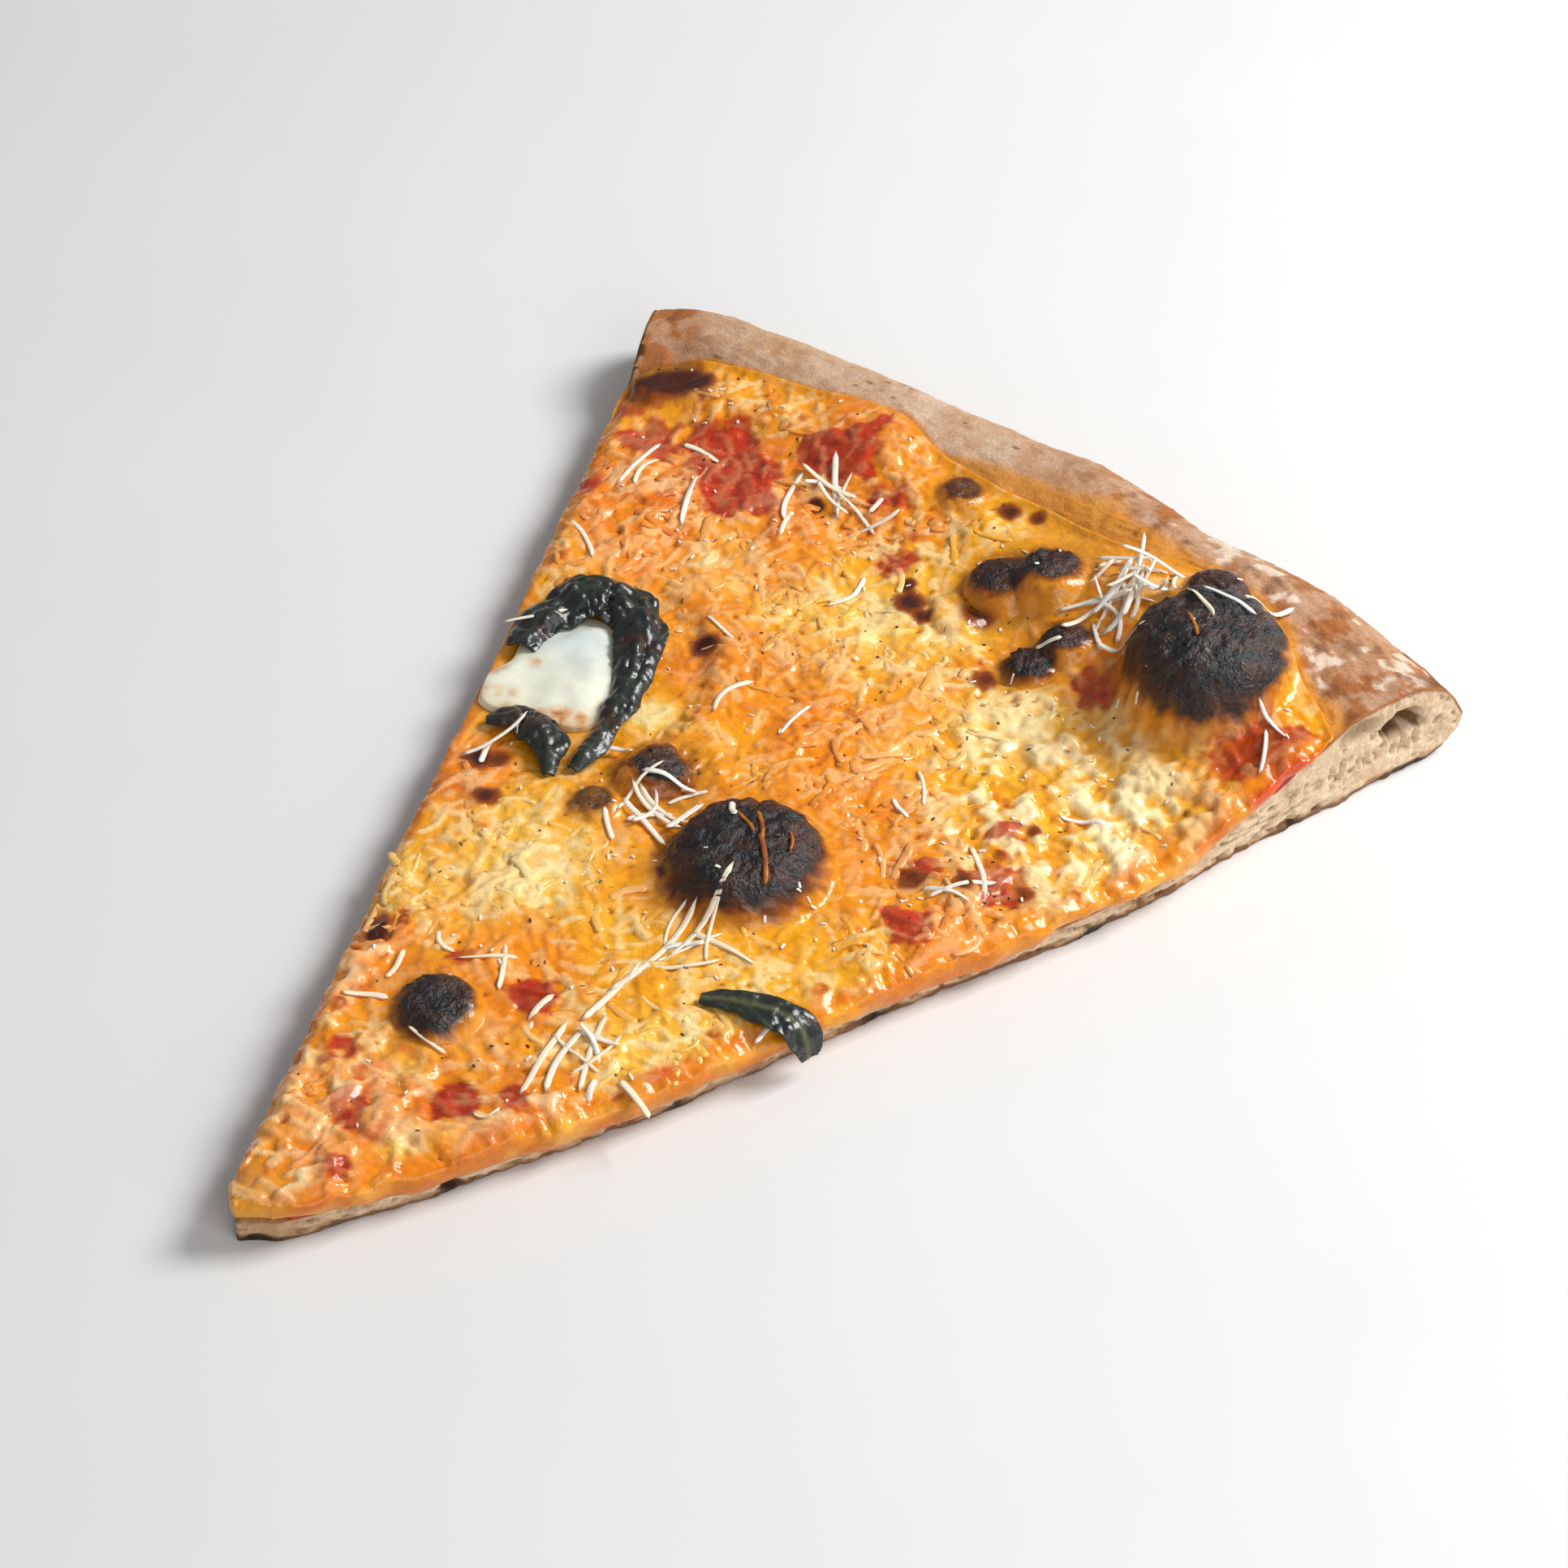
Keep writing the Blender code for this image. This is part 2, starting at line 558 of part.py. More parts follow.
def keep_largest_body(thing):
    """Drops loose scraps: only the connected body with the most faces stays."""
    shape = bmesh.new()
    shape.from_mesh(thing.data)
    left = set(shape.verts)
    bodies = []
    while left:
        body, edge_of_body = set(), [left.pop()]
        while edge_of_body:
            vertex = edge_of_body.pop()
            body.add(vertex)
            near = {edge.other_vert(vertex) for edge in vertex.link_edges} & left
            left -= near
            edge_of_body.extend(near)
        bodies.append(body)
    bodies.sort(key=len)
    scraps = [vertex for body in bodies[:-1] for vertex in body]
    bmesh.ops.delete(shape, geom=scraps, context="VERTS")
    shape.to_mesh(thing.data)
    shape.free()


def make_mozzarella(material):
    """A low pool with an uneven outline, clipped by the left cut: rings that rise to the middle."""
    skin = Skin()
    angles = np.linspace(0, 360, MOZZARELLA_SECTORS, endpoint=False)
    radius = through(MOZZARELLA_OUTLINE, angles)
    turn = np.radians(angles)
    floor = BED_HEIGHT + LAYER_GAP
    rings = []
    for share in MOZZARELLA_RINGS:
        x = BED_MIDDLE[0] + share * radius * np.cos(turn)
        y = BED_MIDDLE[1] + share * radius * np.sin(turn)
        x = np.maximum(x, through(LEFT_CUT, y) + MOZZARELLA_INSET)
        rise = MOZZARELLA_RISE * math.sqrt(1 - share**2) + (MOZZARELLA_WALL if share < 1 else 0.0)
        ring = skin.place(x, y, floor + rise)
        rings.append(np.append(ring, ring[0]))
    for lower, upper in zip(rings[:-1], rings[1:]):
        skin.zip(lower, upper)
    peak = skin.place(BED_MIDDLE[0], BED_MIDDLE[1], floor + MOZZARELLA_RISE + MOZZARELLA_WALL)
    skin.faces += [(a, b, int(peak)) for a, b in zip(rings[-1][:-1], rings[-1][1:])]
    skin.faces.append(tuple(rings[0][-2::-1]))
    return skin.to_object("mozzarella", material)


def leaf_skin(line, floor, arch, waves):
    """A thin wavy leaf: a grid about its middle line, arched across, with both faces split alike."""
    knots = np.array(line)
    at = np.arange(len(knots))
    share = np.linspace(0, len(knots) - 1, 3 * len(knots))
    x, y, z, half = (through(np.stack([at, column], 1), share) for column in knots.T)
    along = np.stack([np.gradient(x), np.gradient(y)], 1)
    along /= np.linalg.norm(along, axis=1, keepdims=True)
    v = np.linspace(-1, 1, BASIL_POINTS_ACROSS)
    ripple = waves * np.sin(share[:, None] * BASIL_RIPPLE[0] + BASIL_RIPPLE[1] * v)
    full = np.minimum(half / BASIL_FULL_ARCH, 1.0)[:, None]
    place = np.stack([
        x[:, None] - along[:, 1:] * half[:, None] * v,
        y[:, None] + along[:, :1] * half[:, None] * v,
        floor + z[:, None] + arch * (1 - v**2) * full + ripple,
    ], -1)
    normal = np.cross(np.gradient(place, axis=1), np.gradient(place, axis=0))
    normal *= np.sign(normal[..., 2:] + 1e-9)
    normal /= np.linalg.norm(normal, axis=2, keepdims=True)
    skin = Skin()
    faces = [skin.place(*np.moveaxis(place + normal * BASIL_THICKNESS * side, -1, 0)) for side in (-0.5, 0.5)]
    skin.cells(faces[0])
    skin.cells(faces[1], turned=True)
    skin.zip(rim_loop(faces[1]), rim_loop(faces[0]))
    return skin


def face_outward(thing):
    """Turns every face outward."""
    shape = bmesh.new()
    shape.from_mesh(thing.data)
    bmesh.ops.recalc_face_normals(shape, faces=shape.faces)
    shape.to_mesh(thing.data)
    shape.free()


def make_basil(material):
    """The curled leaf round the mozzarella, its lower lobe, and the leaf over the right cut."""
    bed = BED_HEIGHT + LAYER_GAP
    leaves = [
        leaf_skin(CURL_LINE, bed, 1.6, 0.4).to_object("basil_curl", material),
        leaf_skin(LOBE_LINE, bed, 1.2, 0.25).to_object("basil_lobe", material),
        leaf_skin(EDGE_LEAF_LINE, 0.0, 0.4, 0.1).to_object("basil_edge", material),
    ]
    for leaf in leaves:
        face_outward(leaf)
    return leaves


def cut_crumb(dough):
    """Opens the crumb's hollows in the right cut."""
    for number, (along, height, long_way, deep, tall) in enumerate(CRUMB_HOLLOWS):
        place = (float(through(RIGHT_CUT, along)), along, height)
        middle = [(place[0] - PLAN_MIDDLE[0]) * MM, (place[1] - PLAN_MIDDLE[1]) * MM, place[2] * MM]
        bpy.ops.mesh.primitive_ico_sphere_add(subdivisions=2, radius=MM, location=middle)
        hollow = bpy.context.active_object
        hollow.name = f"hollow_{number}"
        hollow.scale = (deep, long_way, tall)
        hollow.rotation_euler = (0.0, 0.0, math.radians(HOLLOW_TURN))
        hollow.hide_render = True
        hollow.display_type = "WIRE"
        cut = dough.modifiers.new(hollow.name, "BOOLEAN")
        cut.operation = "DIFFERENCE"
        cut.solver = "EXACT"
        cut.object = hollow


def main():
    clear_scene()
    materials = {name: make_material(name) for name in FINISHES}
    dough = make_dough(materials["dough"])
    cut_crumb(dough)
    make_sauce(materials["tomato_sauce"])
    make_cheese(materials["cheese"])
    make_mozzarella(materials["mozzarella"])
    make_basil(materials["basil"])


main()
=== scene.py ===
"""A slice of cheese pizza, dressed for a picture.

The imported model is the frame. Every one of its nodes is replaced here by a finer piece of the same form:
the dough with its floury crust and open crumb, the tomato sauce, the melted cheese with its charred
blisters, the pool of mozzarella and the basil. Shreds of hard cheese, crumbs and specks lie on them.

Shapes are worked out in millimetres from the middle of the whole pie: +Y runs along the middle of the
slice to its crust, +X to the right cut and +Z up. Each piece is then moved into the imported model's
frame, in metres.
"""

import math

import bpy
import numpy as np
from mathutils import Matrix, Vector


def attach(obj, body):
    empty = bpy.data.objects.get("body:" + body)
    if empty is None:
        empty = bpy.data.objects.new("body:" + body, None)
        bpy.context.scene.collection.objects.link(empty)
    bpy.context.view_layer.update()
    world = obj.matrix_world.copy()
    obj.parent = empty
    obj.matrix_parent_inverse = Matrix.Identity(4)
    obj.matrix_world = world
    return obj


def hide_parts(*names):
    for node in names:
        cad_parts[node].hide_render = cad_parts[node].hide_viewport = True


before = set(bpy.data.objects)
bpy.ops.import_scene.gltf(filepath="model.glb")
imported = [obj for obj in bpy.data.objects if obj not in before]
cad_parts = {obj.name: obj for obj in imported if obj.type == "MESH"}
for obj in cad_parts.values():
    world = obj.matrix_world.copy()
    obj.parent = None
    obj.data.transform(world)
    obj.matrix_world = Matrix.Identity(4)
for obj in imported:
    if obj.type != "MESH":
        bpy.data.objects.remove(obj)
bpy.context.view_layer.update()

MM = 0.001
PLAN_MIDDLE = (0.05, 110.65)

# Driving sizes of the slice, the same as the solids have.
BASE_THICKNESS = 4.0
SAUCE_THICKNESS = 0.8
CHEESE_THICKNESS = 2.9
LAYER_GAP = 0.3
CRUST_UNDERCUT = 7.0

# Plan of the two cuts, as (distance along the slice, place across it).
LEFT_CUT = ((0.0, -1.2), (60.0, -25.8), (130.0, -54.6), (186.0, -78.0), (220.0, -92.0))
RIGHT_CUT = (
    (0.0, 3.5), (6.0, 8.0), (13.0, 12.0), (26.5, 19.5), (46.0, 28.5), (61.0, 35.5), (79.0, 42.0),
    (100.0, 50.3), (120.0, 59.0), (135.0, 65.0), (151.0, 69.8), (166.0, 73.6), (179.0, 77.6),
    (192.5, 81.7), (203.0, 85.2), (220.0, 91.0),
)

# Plan and profile of the crust, as (share across from the left cut to the right cut, value).
OUTER_EDGE = (
    (0.0, 207.8), (0.03, 211.6), (0.07, 214.2), (0.12, 215.5), (0.2, 217.1), (0.28, 218.5), (0.38, 219.7),
    (0.46, 220.8), (0.53, 222.2), (0.6, 220.2), (0.68, 217.0), (0.79, 216.8), (0.9, 212.8), (0.96, 210.6),
    (1.0, 208.4),
)
TIP_EDGE = ((0.0, 2.4), (0.5, -0.4), (1.0, 3.0))
BARE_CRUST = (
    (0.0, 21.5), (0.06, 17.0), (0.14, 15.2), (0.22, 14.6), (0.29, 13.4), (0.33, 13.4), (0.38, 16.8),
    (0.44, 18.5), (0.52, 20.5), (0.62, 20.0), (0.7, 17.0), (0.78, 17.5), (0.85, 19.5), (0.92, 24.5),
    (1.0, 27.6),
)
CRUST_WIDTH = ((0.0, 33.0), (0.25, 36.0), (0.5, 45.0), (0.75, 58.0), (1.0, 64.0))
CRUST_RISE = ((0.0, 9.5), (0.25, 10.0), (0.5, 10.5), (0.75, 14.0), (0.88, 14.6), (1.0, 14.0))
# The crust's cross-section, as (share of its width inward from the outer edge, share of its rise).
CRUST_PROFILE = (
    (0.0, 0.25), (0.045, 0.64), (0.12, 0.91), (0.24, 1.0), (0.38, 0.93), (0.53, 0.6), (0.69, 0.35),
    (0.85, 0.12), (1.0, 0.0),
)
# Melted cheese hanging over the right cut, as (distance along the slice, depth below the base's top).
RIGHT_DROOP = (
    (0.0, 0.0), (8.0, 0.0), (20.0, 1.0), (32.0, 1.3), (45.0, 2.0), (60.0, 1.3), (75.0, 1.0), (88.0, 0.7),
    (110.0, 1.6), (122.0, 0.6), (132.0, 0.0), (140.0, 0.0), (220.0, 0.0),
)
RIGHT_LIP = 1.7
CUT_LIP = 0.6
LIP_RUN_IN = 12.0
LEAST_CHEESE = 0.8
CHEESE_THINNING = 9.0
SAUCE_THINNING = 11.0
BORDER_SHARE = 0.25
CUT_ROUNDING = 0.9
CUT_ROUNDING_WIDTH = 3.0

# Blisters, as (across, along, radius, rise).
BLISTERS = (
    (16.8, 103.5, 15.5, 7.8), (52.3, 181.5, 16.5, 11.8), (45.0, 195.4, 6.5, 2.2), (-1.2, 48.5, 8.0, 3.4),
    (9.5, 182.6, 7.5, 4.0), (17.0, 186.6, 7.5, 4.2), (24.6, 170.3, 5.2, 2.8), (27.6, 176.5, 5.2, 2.8),
    (-10.3, 111.2, 7.5, 2.4), (-12.1, 99.8, 5.0, 1.8), (-72.6, 190.5, 7.0, 1.0), (-9.9, 197.0, 5.0, 1.2),
    (6.5, 174.5, 6.0, 1.2), (46.0, 121.0, 6.0, 0.9), (43.5, 108.7, 4.0, 0.9),
)
DOME_FALL = 0.35
SIDE_STEEPNESS = 1.2
SIDE_POWER = 10
# Blisters that rise this much have their points gathered on their steep ring, inside a circle of this share
# of their radius.
GATHERED_RISE = 3.0
GATHERED_REACH = 1.25
GATHERING = 0.62
LUMP_RISE = 0.55
SMALL_LUMP = (3.4, 4.1)
LARGE_LUMP = (7.9, 8.3)
# The bed that the basil and the mozzarella lie in: its place, radii, height and the softness of its rim.
BED_MIDDLE = (-36.0, 121.0)
BED_RADII = (23.0, 27.0)
BED_HEIGHT = 6.8
BED_RIM = 1.1
BED_RAMP = 0.25

# Charred caps, as (across, along, radius to the view's right, radius to its back, how black, width of the
# toasted skirt as a share of the radius), and those two directions.
CHARRED = (
    (15.9, 103.4, 13.1, 12.9, 1.0, 0.26), (51.6, 182.0, 14.0, 14.5, 1.0, 0.14),
    (45.2, 195.8, 5.6, 4.6, 0.8, 0.35), (-1.7, 48.2, 6.2, 6.8, 0.97, 0.3),
    (9.2, 183.6, 6.0, 5.2, 0.95, 0.5), (15.9, 188.2, 4.6, 4.6, 0.95, 0.8),
    (24.4, 170.4, 4.2, 3.9, 0.97, 0.6), (26.9, 176.6, 4.2, 3.6, 0.97, 0.6),
    (-8.6, 112.2, 4.4, 4.2, 0.9, 1.3), (-13.0, 99.8, 3.2, 3.2, 0.6, 0.8), (-9.9, 197.4, 3.2, 2.8, 0.6, 0.9),
)
VIEW_RIGHT = (0.784, 0.621)
VIEW_BACK = (-0.621, 0.784)

# Patches on the cheese, as (across, along, radius, strength).
RED_PATCHES = (
    (-66.9, 178.4, 7.5, 1.0), (-54.5, 187.5, 8.0, 1.0), (-33.4, 192.4, 8.5, 1.2), (-45.0, 178.0, 9.0, 1.1),
    (-20.0, 190.0, 5.0, 0.8), (-73.0, 184.0, 6.0, 0.9), (70.5, 171.5, 7.5, 1.7), (65.0, 176.0, 5.5, 1.3),
    (45.2, 135.6, 4.5, 0.8), (43.5, 110.0, 5.0, 0.9), (50.0, 127.0, 6.5, 0.9), (8.1, 60.0, 5.5, 0.8),
    (14.0, 36.0, 5.0, 0.9), (-4.0, 58.0, 5.0, 0.6), (2.0, 25.0, 4.5, 0.9), (-66.0, 164.0, 6.0, 0.6),
    (-12.0, 180.0, 6.0, 0.6), (39.0, 119.0, 4.0, 0.8), (26.0, 165.0, 4.0, 0.5), (36.5, 172.0, 5.0, 0.9),
    (-8.0, 32.0, 4.5, 0.8), (62.0, 165.0, 4.0, 0.6), (8.0, 14.0, 3.0, 0.7), (20.0, 42.0, 3.0, 0.8),
)
PALE_PATCHES = (
    (31.2, 156.8, 11.0, 1.0), (57.5, 150.2, 11.0, 1.0), (64.0, 140.0, 8.0, 1.0), (7.2, 170.0, 8.0, 0.7),
    (-14.4, 81.1, 14.0, 0.8), (-6.0, 162.0, 15.0, 0.7), (-20.0, 123.0, 4.5, 1.4), (47.0, 90.0, 5.0, 0.7),
    (32.0, 62.0, 10.0, 0.7), (8.0, 12.0, 6.0, 0.6), (60.0, 128.0, 8.0, 0.7), (-26.0, 68.0, 9.0, 0.5),
    (40.0, 168.0, 7.0, 0.5), (0.0, 33.0, 4.6, 1.2), (11.0, 25.0, 5.0, 1.2), (2.0, 18.0, 3.5, 1.1),
    (15.0, 31.0, 3.0, 1.0), (-34.0, 160.0, 9.0, 0.4), (20.0, 143.0, 7.0, 0.4), (30.0, 79.0, 8.0, 0.4),
)
ORANGE_PATCHES = (
    (12.0, 135.0, 20.0, 0.8), (-44.0, 165.0, 24.0, 1.1), (-38.0, 92.0, 10.0, 0.9), (-10.0, 140.0, 13.0, 0.8),
    (32.0, 118.0, 12.0, 0.7), (6.0, 22.0, 16.0, 0.8), (-16.0, 50.0, 10.0, 0.9), (-30.0, 203.0, 18.0, 0.8),
    (0.0, 65.0, 14.0, 0.7), (24.0, 44.0, 10.0, 0.6), (50.0, 112.0, 9.0, 0.8), (0.0, 118.0, 12.0, 0.5),
)
# Places where sauce has soaked through as a red-orange stain, as (across, along, radius, strength).
STAINS = (
    (-60.0, 166.0, 17.0, 0.8), (-45.0, 181.0, 16.0, 0.9), (-15.0, 187.0, 12.0, 0.6), (5.0, 26.0, 20.0, 1.0),
    (-13.0, 45.0, 11.0, 0.6), (50.0, 120.0, 13.0, 0.8), (66.0, 146.0, 7.0, 0.6), (-36.0, 92.0, 7.0, 0.8),
    (14.0, 40.0, 10.0, 0.6), (-24.0, 140.0, 8.0, 0.6), (9.0, 58.0, 8.0, 0.6), (-6.0, 150.0, 8.0, 0.4),
    (22.0, 170.0, 9.0, 0.6), (34.0, 174.0, 8.0, 0.9), (70.0, 168.0, 9.0, 0.9), (6.0, 174.0, 8.0, 0.5),
)
# Brown spots, as (across, along, radius, darkness).
BROWN_SPOTS = (
    (-23.1, 141.8, 2.6, 0.9), (-27.9, 90.0, 2.6, 0.7), (-30.9, 182.2, 1.6, 1.0), (-1.9, 171.9, 2.6, 0.8),
    (-5.0, 175.0, 1.6, 0.7), (2.0, 170.0, 1.8, 0.7), (9.4, 176.0, 3.4, 0.7), (39.2, 118.2, 2.4, 0.5),
    (46.7, 121.8, 2.0, 0.5), (55.8, 126.6, 1.8, 0.4), (48.5, 138.8, 1.6, 0.5), (-21.1, 55.2, 3.0, 0.9),
    (-35.4, 97.1, 3.0, 0.7), (32.9, 52.3, 1.6, 1.0), (-0.2, 198.1, 2.2, 0.7), (5.0, 199.5, 1.6, 0.6),
    (-75.8, 190.8, 5.0, 1.2), (-71.0, 192.4, 4.8, 1.2), (-66.6, 193.8, 3.2, 0.8), (-78.5, 188.0, 3.6, 1.0),
    (20.0, 164.0, 2.2, 0.6), (-33.0, 99.0, 2.4, 0.6),
)
# Places with round lumps, as (across, along, radius, strength).
LUMPY_PLACES = (
    (-46.0, 160.0, 22.0, 0.8), (58.0, 118.0, 14.0, 0.9), (64.0, 160.0, 12.0, 0.8), (-30.0, 196.0, 12.0, 0.7),
    (48.0, 96.0, 8.0, 0.9), (-18.0, 72.0, 14.0, 0.5),
)
# Smooth glossy places without strands, as (across, along, radius, strength).
CALM_PLACES = (
    (16.8, 103.5, 17.5, 1.0), (52.3, 181.5, 17.5, 1.0), (-1.2, 48.5, 10.0, 0.9), (13.0, 185.0, 12.0, 0.9),
    (26.0, 173.0, 7.0, 0.8), (14.0, 200.0, 10.0, 1.0), (30.0, 200.0, 8.0, 0.8), (-11.0, 106.0, 9.0, 0.8),
    (-71.6, 189.0, 8.0, 0.8), (-9.9, 197.0, 6.0, 0.8), (-36.0, 121.0, 22.0, 1.0),
)

# The pale ridges: the middle and radii of their patch, and the direction in which they are drawn out.
RIDGE_MIDDLE = (51.0, 147.0)
RIDGE_RADII = (27.0, 19.0)
RIDGE_WAY = (0.87, -0.5)

# The step over which the slope of the cheese is measured.
SLOPE_STEP = 0.15

# The strands, beads, bubbles and pits of the cheese's surface, with the least and most of each size.
CHART_LOW = (-92.0, -4.0)
CHART_HIGH = (94.0, 222.0)
CHART_STEP = 0.25
CHART_SEED = 5
STRAND_COUNT = 1800
STRAND_LENGTH = (3.5, 9.5)
STRAND_HALF = (0.5, 1.0)
STRAND_RISE = (0.25, 0.65)
STRAND_BOW = 0.7
BEAD_COUNT = 2600
BEAD_RADIUS = (0.5, 1.5)
BEAD_RISE = (0.12, 0.45)
BUBBLE_COUNT = 170
BUBBLE_RADIUS = (0.8, 2.1)
BUBBLE_RISE = (0.35, 0.8)
PIT_COUNT = 280
PIT_RADIUS = (0.25, 0.75)
PIT_DEPTH = (0.15, 0.5)

# The cheese's net: columns from the tip outwards, doubled twice, and rows.
CHEESE_COLUMNS = (72, 144, 288)
CHEESE_ROWS = (100, 100, 200)
LIP_RINGS = 11

# Marks on the points of a skin that tell a cut side and an underside from the rest.
CUT_ZONE = 1.0
UNDER_ZONE = 2.0

# The dough's net, fine where it shows and coarse where it is hidden, and the share along where the two meet.
BASE_STATIONS = 300
BORDER_STATIONS = 36
CRUST_STATIONS = 96
CRUST_COLUMNS = 240
HIDDEN_COLUMNS = 48
HIDDEN_ROWS = 50
WALL_ROWS = 44
BASE_END = 0.9
# The sauce's rows, and the shares along where it begins and ends.
SAUCE_ROWS = 200
SAUCE_ENDS = (0.012, 0.955)

# Smooth noise: how many values its square table has each way, and where in it the slice lies.
NOISE_VALUES = 128
NOISE_SHIFT = (400.3, 400.7)

# Colours in linear light.
GOLD = (0.87, 0.39, 0.008)
ORANGE = (0.86, 0.255, 0.005)
DEEP_ORANGE = (0.60, 0.105, 0.004)
STAIN = (0.70, 0.135, 0.010)
CREAM = (0.96, 0.73, 0.34)
RIDGE_CREAM = (0.98, 0.80, 0.45)
TIP_TAN = (0.58, 0.27, 0.07)
PINK_CREAM = (0.94, 0.54, 0.22)
PALE_YELLOW = (0.94, 0.64, 0.12)
SAUCE_RED = (0.36, 0.014, 0.005)
BRIGHT_RED = (0.62, 0.036, 0.010)
TOAST = (0.26, 0.050, 0.004)
DARK_TOAST = (0.060, 0.010, 0.003)
CHAR = (0.006, 0.005, 0.006)
AMBER = (0.64, 0.24, 0.010)
FLOUR = (0.61, 0.43, 0.30)
BAKED = (0.47, 0.25, 0.115)
BROWN_CRUST = (0.36, 0.125, 0.034)
DARK_CRUST = (0.14, 0.045, 0.015)
CRUMB = (0.78, 0.60, 0.40)
# Painted shade for the inside of the crumb's pores.
PAINTED_PORE_SHADE = (0.17, 0.08, 0.028)
DUSTED = (0.80, 0.66, 0.52)
# How brown the bare crust is, at shares across the slice.
BROWN_ACROSS = (0.0, 0.03, 0.07, 0.12, 0.45, 0.55, 0.62, 0.72, 0.85, 1.0)
BROWN_SHARE = (1.0, 0.8, 0.4, 0.06, 0.1, 0.5, 0.8, 0.6, 0.65, 0.8)
# How far oil has run from the cheese onto the bare crust, at shares across the slice.
OILY_ACROSS = (0.0, 0.4, 0.5, 0.6, 0.68, 0.75, 1.0)
OILY_REACH = (1.6, 2.0, 8.0, 12.0, 7.0, 3.5, 5.0)
# Burnt places along the low edge of the cuts, as (along, reach).
BURNT_ALONG = ((1.0, 4.0), (27.0, 2.2), (62.0, 1.8), (96.0, 2.6), (133.0, 4.0), (174.0, 2.5), (201.0, 8.0))


def through(knots, at):
    """A smooth curve through the knots: cubic pieces whose slope at a knot is that between its neighbours."""
    x, y = np.array(knots).T
    slope = np.gradient(y, x)
    at = np.clip(at, x[0], x[-1])
    i = np.clip(np.searchsorted(x, at, side="right") - 1, 0, len(x) - 2)
    h = x[i + 1] - x[i]
    q = (at - x[i]) / h
    rest = 1 - q
    ends = y[i] * (1 + 2 * q) * rest**2 + y[i + 1] * (3 - 2 * q) * q**2
    return ends + h * q * rest * (slope[i] * rest - slope[i + 1] * q)


def smooth_step(q):
    """0 below 0, 1 above 1, and a smooth ramp between."""
    q = np.clip(q, 0, 1)
    return q * q * (3 - 2 * q)


def cloud(x, y, size, seed):
    """Smooth noise from -1 to 1: random values on a lattice of that size, with smooth steps between."""
    table = np.random.default_rng(seed).uniform(-1, 1, (NOISE_VALUES, NOISE_VALUES))
    u = np.asarray(x) / size + NOISE_SHIFT[0]
    v = np.asarray(y) / size + NOISE_SHIFT[1]
    i, j = np.floor(u).astype(int), np.floor(v).astype(int)
    p, q = smooth_step(u - i), smooth_step(v - j)
    i, next_i = i % NOISE_VALUES, (i + 1) % NOISE_VALUES
    j, next_j = j % NOISE_VALUES, (j + 1) % NOISE_VALUES
    near = table[i, j] * (1 - p) + table[next_i, j] * p
    far = table[i, next_j] * (1 - p) + table[next_i, next_j] * p
    return near * (1 - q) + far * q


def clouds(x, y, size, seed, layers=3):
    """Layers of smooth noise, each half as large and half as strong as the one before."""
    return sum(cloud(x, y, size / 2**k, seed + k) / 2**k for k in range(layers)) / (2 - 0.5 ** (layers - 1))


def blend(colour, other, share):
    """Colours moved towards another colour, or other colours, by a share at each point."""
    return colour + (np.asarray(other) - colour) * np.clip(share, 0, 1)[..., None]


def even(colour, x):
    """One colour at every point."""
    return np.zeros((*np.shape(x), 3)) + colour


def patches(rows, x, y, wander=0.35, seed=60):
    """Strength of round patches with wandering edges: a soft bell for each, the strongest where they meet."""
    strength = np.zeros(np.shape(x))
    drift = 1 + wander * clouds(x, y, 7.0, seed)
    for across, along, radius, most in rows:
        far = np.hypot(x - across, y - along) / radius * drift
        strength = np.maximum(strength, most * np.exp(-(far**3)))
    return strength


def plan(s, t):
    """Plan place of share s across and t along: 0 at the tip, 1 at the cheese's end, 2 at the outer edge."""
    tip, outer = through(TIP_EDGE, s), through(OUTER_EDGE, s)
    border = outer - through(BARE_CRUST, s)
    y = np.where(t < 1, tip + (border - tip) * t, border + (outer - border) * (t - 1))
    left, right = through(LEFT_CUT, y), through(RIGHT_CUT, y)
    return left + (right - left) * s, y


def share_across(x, y):
    """Share of the way from the left cut to the right cut."""
    left, right = through(LEFT_CUT, y), through(RIGHT_CUT, y)
    return np.clip((x - left) / (right - left), 0, 1)


def dough_top(x, y):
    """Height of the dough: the flat base, and the crust's profile rising from it towards the outer edge."""
    s = share_across(x, y)
    inward = through(OUTER_EDGE, s) - y
    return BASE_THICKNESS + through(CRUST_RISE, s) * through(CRUST_PROFILE, inward / through(CRUST_WIDTH, s))


def dough_underside(s, inward):
    """Height of the underside: 0, and a quarter ellipse up to the outer edge over the undercut's width."""
    edge = BASE_THICKNESS + through(CRUST_RISE, s) * CRUST_PROFILE[0][1]
    reach = np.minimum(CRUST_UNDERCUT, 0.6 * through(BARE_CRUST, s))
    q = np.clip(1 - inward / reach, 0, 1)
    return edge * (1 - np.sqrt(1 - q**2))


def dome(x, y, blister):
    """A blister's height over its ground, a parabola, and its steep fade from 1 inside to 0 outside."""
    across, along, radius, rise = blister
    far = np.hypot(x - across, y - along) / radius
    return rise * (1 - DOME_FALL * far**2), np.exp(-((SIDE_STEEPNESS * far) ** SIDE_POWER))


def puff_up(x, y, ground):
    """Raises the blisters: inside each, the ground is levelled to its middle's height and domed."""
    height = ground(x, y)
    for blister in BLISTERS:
        up, steep = dome(x, y, blister)
        domed = ground(np.array(blister[0]), np.array(blister[1])) + up
        height += (np.maximum(domed, height) - height) * steep
    return height


def dome_rise(x, y):
    """How far the blisters stand up. Added to y, it spreads a pattern evenly over their steep sides."""
    most = np.zeros(np.shape(x))
    for blister in BLISTERS:
        up, steep = dome(x, y, blister)
        most = np.maximum(most, up * steep)
    return most


